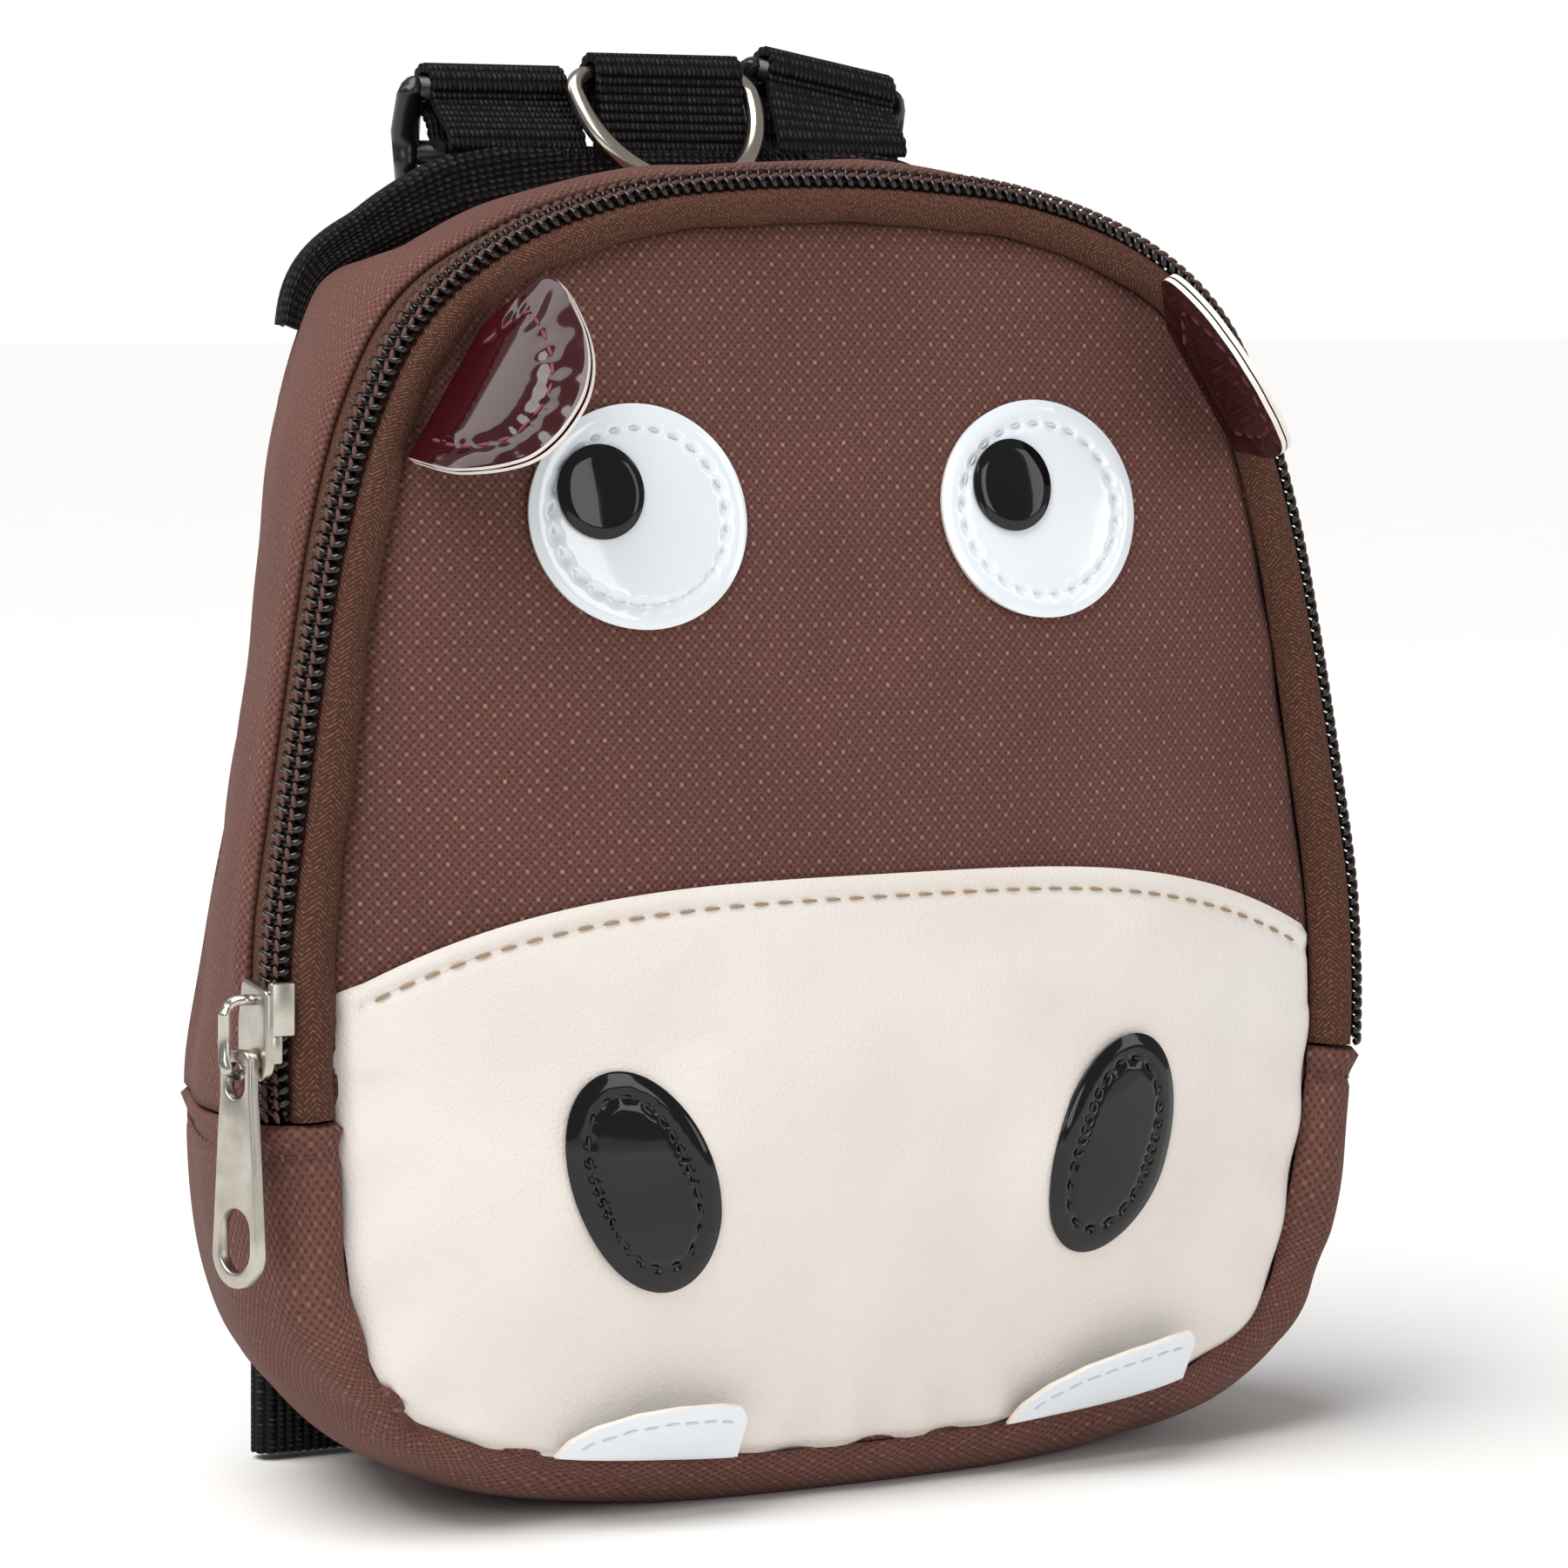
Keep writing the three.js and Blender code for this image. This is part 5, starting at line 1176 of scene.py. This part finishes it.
# Webbing
def build_webbing(name, node_name, path, across_at, wide, moved=None, ribs=5, lift=0.17):
    columns = int(path.length / RIB_PITCH * ribs)

    def place(u, v):
        mm = u * path.length
        across = across_at(u)
        up = unit(np.cross(across, path.along(mm)))
        rib = lift * (np.abs(np.sin(math.pi * mm / RIB_PITCH)) - 0.5)
        side = (v - 0.5) * wide * (1 - 0.006 * np.cos(2 * math.pi * mm / RIB_PITCH))
        spots = path.at(mm) + across * side[:, None] + up * rib[:, None]
        return moved(spots) if moved else spots

    flat = lambda u, v: np.stack([u * path.length, v * wide], 1)
    one = np.array([0.5])
    up = np.cross(across_at(one), path.along(one * path.length))[0]
    strip = cloth_grid(columns, 14, place, flat, lambda _: up)
    return add_piece(name, strip, [WEB_LOOK], [node_name], wall=1.15,
                     middle=True, bevel=0.3)


def side_placing(sign):
    foot = BAND["top"] + GAP
    turn = RIGHT_LOOP_TURN if sign > 0 else 0
    rise = math.sin(turn) * SIDE_LOOP[0] / 2
    return Matrix.Translation((sign * SIDE_LOOP[1], 0, foot + rise)) \
        @ Matrix.Rotation(turn, 4, "Y") @ Matrix.Translation((0, 0, -foot))


def placed(matrix, spots):
    turn = np.array(matrix)
    return spots @ turn[:3, :3].T + turn[:3, 3]


def loop_path(bar_y, bar_z, bar_radius, x=0, slack=1.2):
    reach = bar_radius + 0.5 + WEBBING / 2
    start, front = BAND["top"] + GAP, BAND["y"] + 0.8
    rear = front + WEBBING + GAP
    half = (bar_z - start) * 0.42
    over = [(bar_y + reach * math.cos(math.pi * (1 - a)), bar_z + reach * math.sin(math.pi * (1 - a)))
            for a in (-0.15, 0.12, 0.38, 0.65, 0.92, 1.18, 1.45)]
    spots = [(front, start), (front + 0.1, start + 1.6), *over, (rear + slack, start + half),
             (rear + slack - 1, start + 1.1), (rear, start)]
    return Path([(x, y, z) for y, z in spots])


def build_loops():
    level = lambda u: np.tile((1.0, 0.0, 0.0), (len(u), 1))
    centre = loop_path(RING["y"], RING["z"], RING["wire"], CENTRE_LOOP[1])
    build_webbing("loop_centre_webbing", "loop_centre", centre, level, CENTRE_LOOP[0])
    for name, sign in SIDES:
        def tilt(spots):
            share = smooth(spots[:, 2], BAND["top"] + GAP, LOCK["z"] - 1)[:, None]
            low = spots + np.array((sign * SIDE_LOOP[1], 0, 0))
            return low + (placed(side_placing(sign), spots) - low) * share
        path = loop_path(LOCK["y"], LOCK["z"], LOCK["bar"] / 2, slack=5)
        build_webbing(f"strap_loop_webbing_{name}", f"strap_loop_{name}", path, level,
                      SIDE_LOOP[0], tilt)


def build_locks():
    for name, sign in SIDES:
        bm = bmesh.new()
        inner = SIDE_LOOP[0] / 2 + GAP
        seat = Matrix.Scale(MM, 4) @ side_placing(sign) \
            @ Matrix.Translation((0, LOCK["y"], LOCK["z"])) @ Matrix.Rotation(LOCK["lean"], 4, "X")
        for side in (-1, 1):
            rings = []
            profile = np.array(RAIL)
            for down in (0, 0.015, 0.05, 0.12, 0.24, 0.36, 0.5, 0.66, 0.82, 0.93, 0.985, 1):
                wide = np.interp(down, profile[:, 0], profile[:, 1])
                tip = math.sqrt(max(0.06, 1 - (max(0.06 - min(down, 1 - down), 0) / 0.06) ** 2))
                rings.append(seat @ Matrix.Translation((
                    side * (inner + LOCK["rail"] * wide / 2), 0, LOCK["bar"] / 2 - down * LOCK["long"]))
                    @ Matrix.Diagonal((LOCK["rail"] / 2 * wide * tip, LOCK["thick"] / 2 * tip, 1, 1)))
            loft(bm, rings, 20)
        reach = inner + LOCK["rail"] * 0.2
        for drop in (0, LOCK["long"] / 2 - LOCK["bar"] / 2, LOCK["long"] - LOCK["bar"]):
            turn = Matrix.Rotation(math.pi / 2, 4, "Y")
            rings = [seat @ Matrix.Translation((x, 0, -drop)) @ turn
                     @ Matrix.Diagonal((LOCK["bar"] / 2, LOCK["bar"] / 2, 1, 1))
                     for x in (-reach, 0, reach)]
            loft(bm, rings, 16)
        bmesh.ops.recalc_face_normals(bm, faces=bm.faces[:])
        add_piece(f"ladder_lock_bars_{name}", bm, [LOCK_LOOK], [f"ladder_lock_{name}"])


def build_ring():
    half, deep, corner = RING["half"], RING["deep"], 3
    knots = [(half * math.cos(a), -corner - (deep - corner) * math.sin(a))
             for a in np.linspace(0, math.pi, 21)]
    for a in np.linspace(0.12, 0.88, 4) * math.pi / 2:
        knots.append((-half + corner * (1 - math.cos(a)), -corner + corner * math.sin(a)))
    knots += [(-half * 0.4, 0), (half * 0.4, 0)]
    for a in np.linspace(0.88, 0.12, 4) * math.pi / 2:
        knots.append((half - corner * (1 - math.cos(a)), -corner + corner * math.sin(a)))
    path = Path([(x, 0, up) for x, up in knots], True)
    spots = path.at(np.linspace(0, path.length, 121)[:-1])
    seat = Matrix.Translation((RING["x"], RING["y"], RING["z"])) \
        @ Matrix.Rotation(-RING["lean"], 4, "X")
    ring = wire_mesh(placed(seat, spots), RING["wire"], closed=True, fineness=5)
    add_piece("d_ring_wire", joined(ring), [RING_LOOK], ["d_ring"], body="d_ring")


def build_band():
    long = np.linalg.norm(np.diff(back_seam(np.linspace(BAND["from"], BAND["to"], 200)), axis=0),
                          axis=1).sum()

    def place(u, v):
        t = BAND["from"] + (BAND["to"] - BAND["from"]) * u
        out = outward_at(t, back_seam)
        end = np.minimum(t - BAND["from"], BAND["to"] - t)
        high = BAND["rise"] + BAND["crown"] * smooth(end, 0.04, 0.08)
        rise = 0.7 + (high - 0.7) * np.sin(math.pi / 2 * np.minimum(end / 0.055, 1))
        # Up the front face, over the fold and down the back face.
        face = np.clip(v / 0.44, 0, 1) * (v <= 0.5) + np.clip((1 - v) / 0.44, 0, 1) * (v > 0.5)
        fold = np.clip((v - 0.44) / 0.12, 0, 1)
        y = BAND["y"] + 0.5 + (BAND["thick"] - 1.0) * (1 - np.cos(math.pi * fold)) / 2
        lap = 0.4 * ridge(face * high, high * 0.45, 0.9) * (v < 0.5)
        mm = u * long
        rib = 0.1 * (np.abs(np.sin(math.pi * mm / BAND_PITCH)) - 0.5)
        foot = np.where(v <= 0.5, BAND_FOOT, 0.5)
        point = back_seam(t) + out * (foot + (rise + 0.5 - foot) * face)[:, None]
        point[:, 1] = y - (lap + rib) * (v < 0.5) + rib * (v > 0.5)
        point[:, 2] = np.minimum(point[:, 2], BAND["top"] + 0.25 * np.sin(math.pi * fold))
        return point

    flat = lambda u, v: np.stack([u * long * RIB_PITCH / BAND_PITCH, v * 22], 1)
    band = cloth_grid(int(long / BAND_PITCH * 4), 26, place, flat,
                      lambda spot: (0, -1, 0) if spot[1] < (BAND["y"] + 1.4) * MM else (0, 1, 0))
    add_piece("top_band_webbing", band, [WEB_LOOK], ["top_band"], wall=0.7)


def build_straps():
    for name, sign in SIDES:
        low = TAB["inner"] + (TAB["outer"] - TAB["inner"]) / 2 - 0.6
        drop = LOCK["long"] - LOCK["bar"]
        bar_y = LOCK["y"] + drop * math.sin(LOCK["lean"])
        bar_z = LOCK["z"] - drop * math.cos(LOCK["lean"])
        reach = LOCK["bar"] / 2 + 0.5 + WEBBING / 2
        over = [(bar_y + reach * math.cos(a * math.pi), bar_z + reach * math.sin(a * math.pi))
                for a in (1, 0.75, 0.5, 0.25, 0)]
        seat_y = TAB["y"] + WEBBING + GAP + WEBBING / 2
        high = np.array([(0, y, z) for y, z in
                         [(bar_y - reach, bar_z - STRAP_TAIL), *over, (bar_y + reach + 0.6, bar_z - 3)]])
        rest = [(26, 44, bar_z - 18), (31, 54, 122), (38, 58, 88), (45, 52, 58), (low, 37, 42),
                (low, seat_y + 1.2, 30), (low, seat_y, 25), (low, seat_y, 5)]
        knots = np.vstack([placed(side_placing(sign), high),
                           [(sign * x, y, z) for x, y, z in rest]])
        path = Path(knots)

        def level(u):
            share = np.interp(u * path.length, path.far, path.share)
            turn = RIGHT_LOOP_TURN * (1 - smooth(share, 0.45, 0.7)) * (sign > 0)
            flat = np.stack([np.cos(turn), turn * 0, -np.sin(turn)], 1)
            along = path.along(u * path.length)
            return unit(flat - along * np.sum(flat * along, 1, keepdims=True))
        build_webbing(f"shoulder_strap_webbing_{name}", f"shoulder_strap_{name}", path, level,
                      STRAP_WIDE, ribs=4)

        span = WEBBING + 2 * GAP
        mid, bend = TAB["y"] + WEBBING + span / 2, (WEBBING + span) / 2
        turns = [(TAB["outer"] - bend - WEBBING / 2 + bend * math.cos(a * math.pi),
                  mid + bend * math.sin(a * math.pi)) for a in np.linspace(-0.5, 0.5, 7)]
        fold = Path([(sign * x, y, TAB["foot"] + TAB["wide"] / 2) for x, y in
                     [(TAB["inner"], mid - bend), *turns, (TAB["inner"] + 2, mid + bend)]])
        build_webbing(f"lower_tab_webbing_{name}", f"lower_tab_{name}", fold,
                      lambda u: np.tile((0.0, 0.0, 1.0), (len(u), 1)), TAB["wide"])


build_panel()
build_muzzle()
build_face()
build_ears()
build_teeth()
build_sides()
build_back()
build_zip()
build_slider()
build_band()
build_loops()
build_locks()
build_ring()
build_straps()


# Camera, floor and light
SKY_LIGHT, SKY_SEEN, CEILING = 0.3, 1, 2.9


def build_stage():
    right = Vector((0.870338912905505, -0.4923632232597311, 0.009414513463373176))
    up = Vector((0.041091394933975955, 0.09166065588409736, 0.9949421196357492))
    ahead = Vector((0.4907358494596088, 0.865549987316842, -0.10000772725630186))
    data = bpy.data.cameras.new("camera")
    data.lens, data.sensor_width = 129.22, 36
    data.clip_start, data.clip_end = 0.05, 40
    camera = bpy.data.objects.new("camera", data)
    bpy.context.scene.collection.objects.link(camera)
    spot = Vector((-366.029, -652.941, 166.256)) * MM
    camera.matrix_world = Matrix.Translation(spot) @ Matrix((right, up, -ahead)).transposed().to_4x4()
    bpy.context.scene.camera = camera

    bm = bmesh.new()
    bmesh.ops.create_grid(bm, x_segments=8, y_segments=8, size=6)
    mesh = bpy.data.meshes.new("floor")
    bm.to_mesh(mesh)
    bm.free()
    floor = bpy.data.objects.new("floor", mesh)
    bpy.context.scene.collection.objects.link(floor)
    mesh.materials.append(look_plain("pale_paper", "#f4f3f1", "#f1f0ee", 0.9, 30.0, 0.0))

    # Soft boxes: place, size, strength in watts.
    boxes = [
        ((-1.05, -0.75, 1.05), (0.45, 0.85), 4.5),
        ((0.22, -1.35, 0.5), (0.38, 0.7), 2.5),
        ((1.02, -0.88, 0.5), (0.28, 0.7), 1.4),
        ((-0.78, 0.66, 0.95), (0.3, 0.8), 1.7),
    ]
    aim = Vector((0, 0, 0.09))
    for index, (spot, size, watts) in enumerate(boxes):
        light = bpy.data.lights.new(f"soft_box_{index}", "AREA")
        light.shape, light.size, light.size_y, light.energy = "RECTANGLE", size[0], size[1], watts
        holder = bpy.data.objects.new(f"soft_box_{index}", light)
        bpy.context.scene.collection.objects.link(holder)
        holder.matrix_world = Matrix.Translation(spot) \
            @ (aim - Vector(spot)).to_track_quat("-Z", "Y").to_matrix().to_4x4()

    # A broad light from above, in front and to the left, which lights the floor evenly.
    ceiling = bpy.data.lights.new("ceiling", "SUN")
    ceiling.energy, ceiling.angle = CEILING, 0.87
    holder = bpy.data.objects.new("ceiling", ceiling)
    bpy.context.scene.collection.objects.link(holder)
    holder.matrix_world = Vector((0.5, 0.1, -1)).to_track_quat("-Z", "Y").to_matrix().to_4x4()

    # The surroundings light the bag softly and look as pale as the floor.
    world = bpy.data.worlds.new("studio")
    world.use_nodes = True
    tree = world.node_tree
    seen = node(tree, "ShaderNodeLightPath")
    strength = node(tree, MATH, {0: seen, 1: SKY_SEEN - SKY_LIGHT, 2: SKY_LIGHT},
                    operation="MULTIPLY_ADD")
    tree.nodes["Background"].inputs["Color"].default_value = (1, 1, 1, 1)
    tree.links.new(strength, tree.nodes["Background"].inputs["Strength"])
    bpy.context.scene.world = world
    bpy.context.scene.view_settings.view_transform = "Standard"


build_stage()
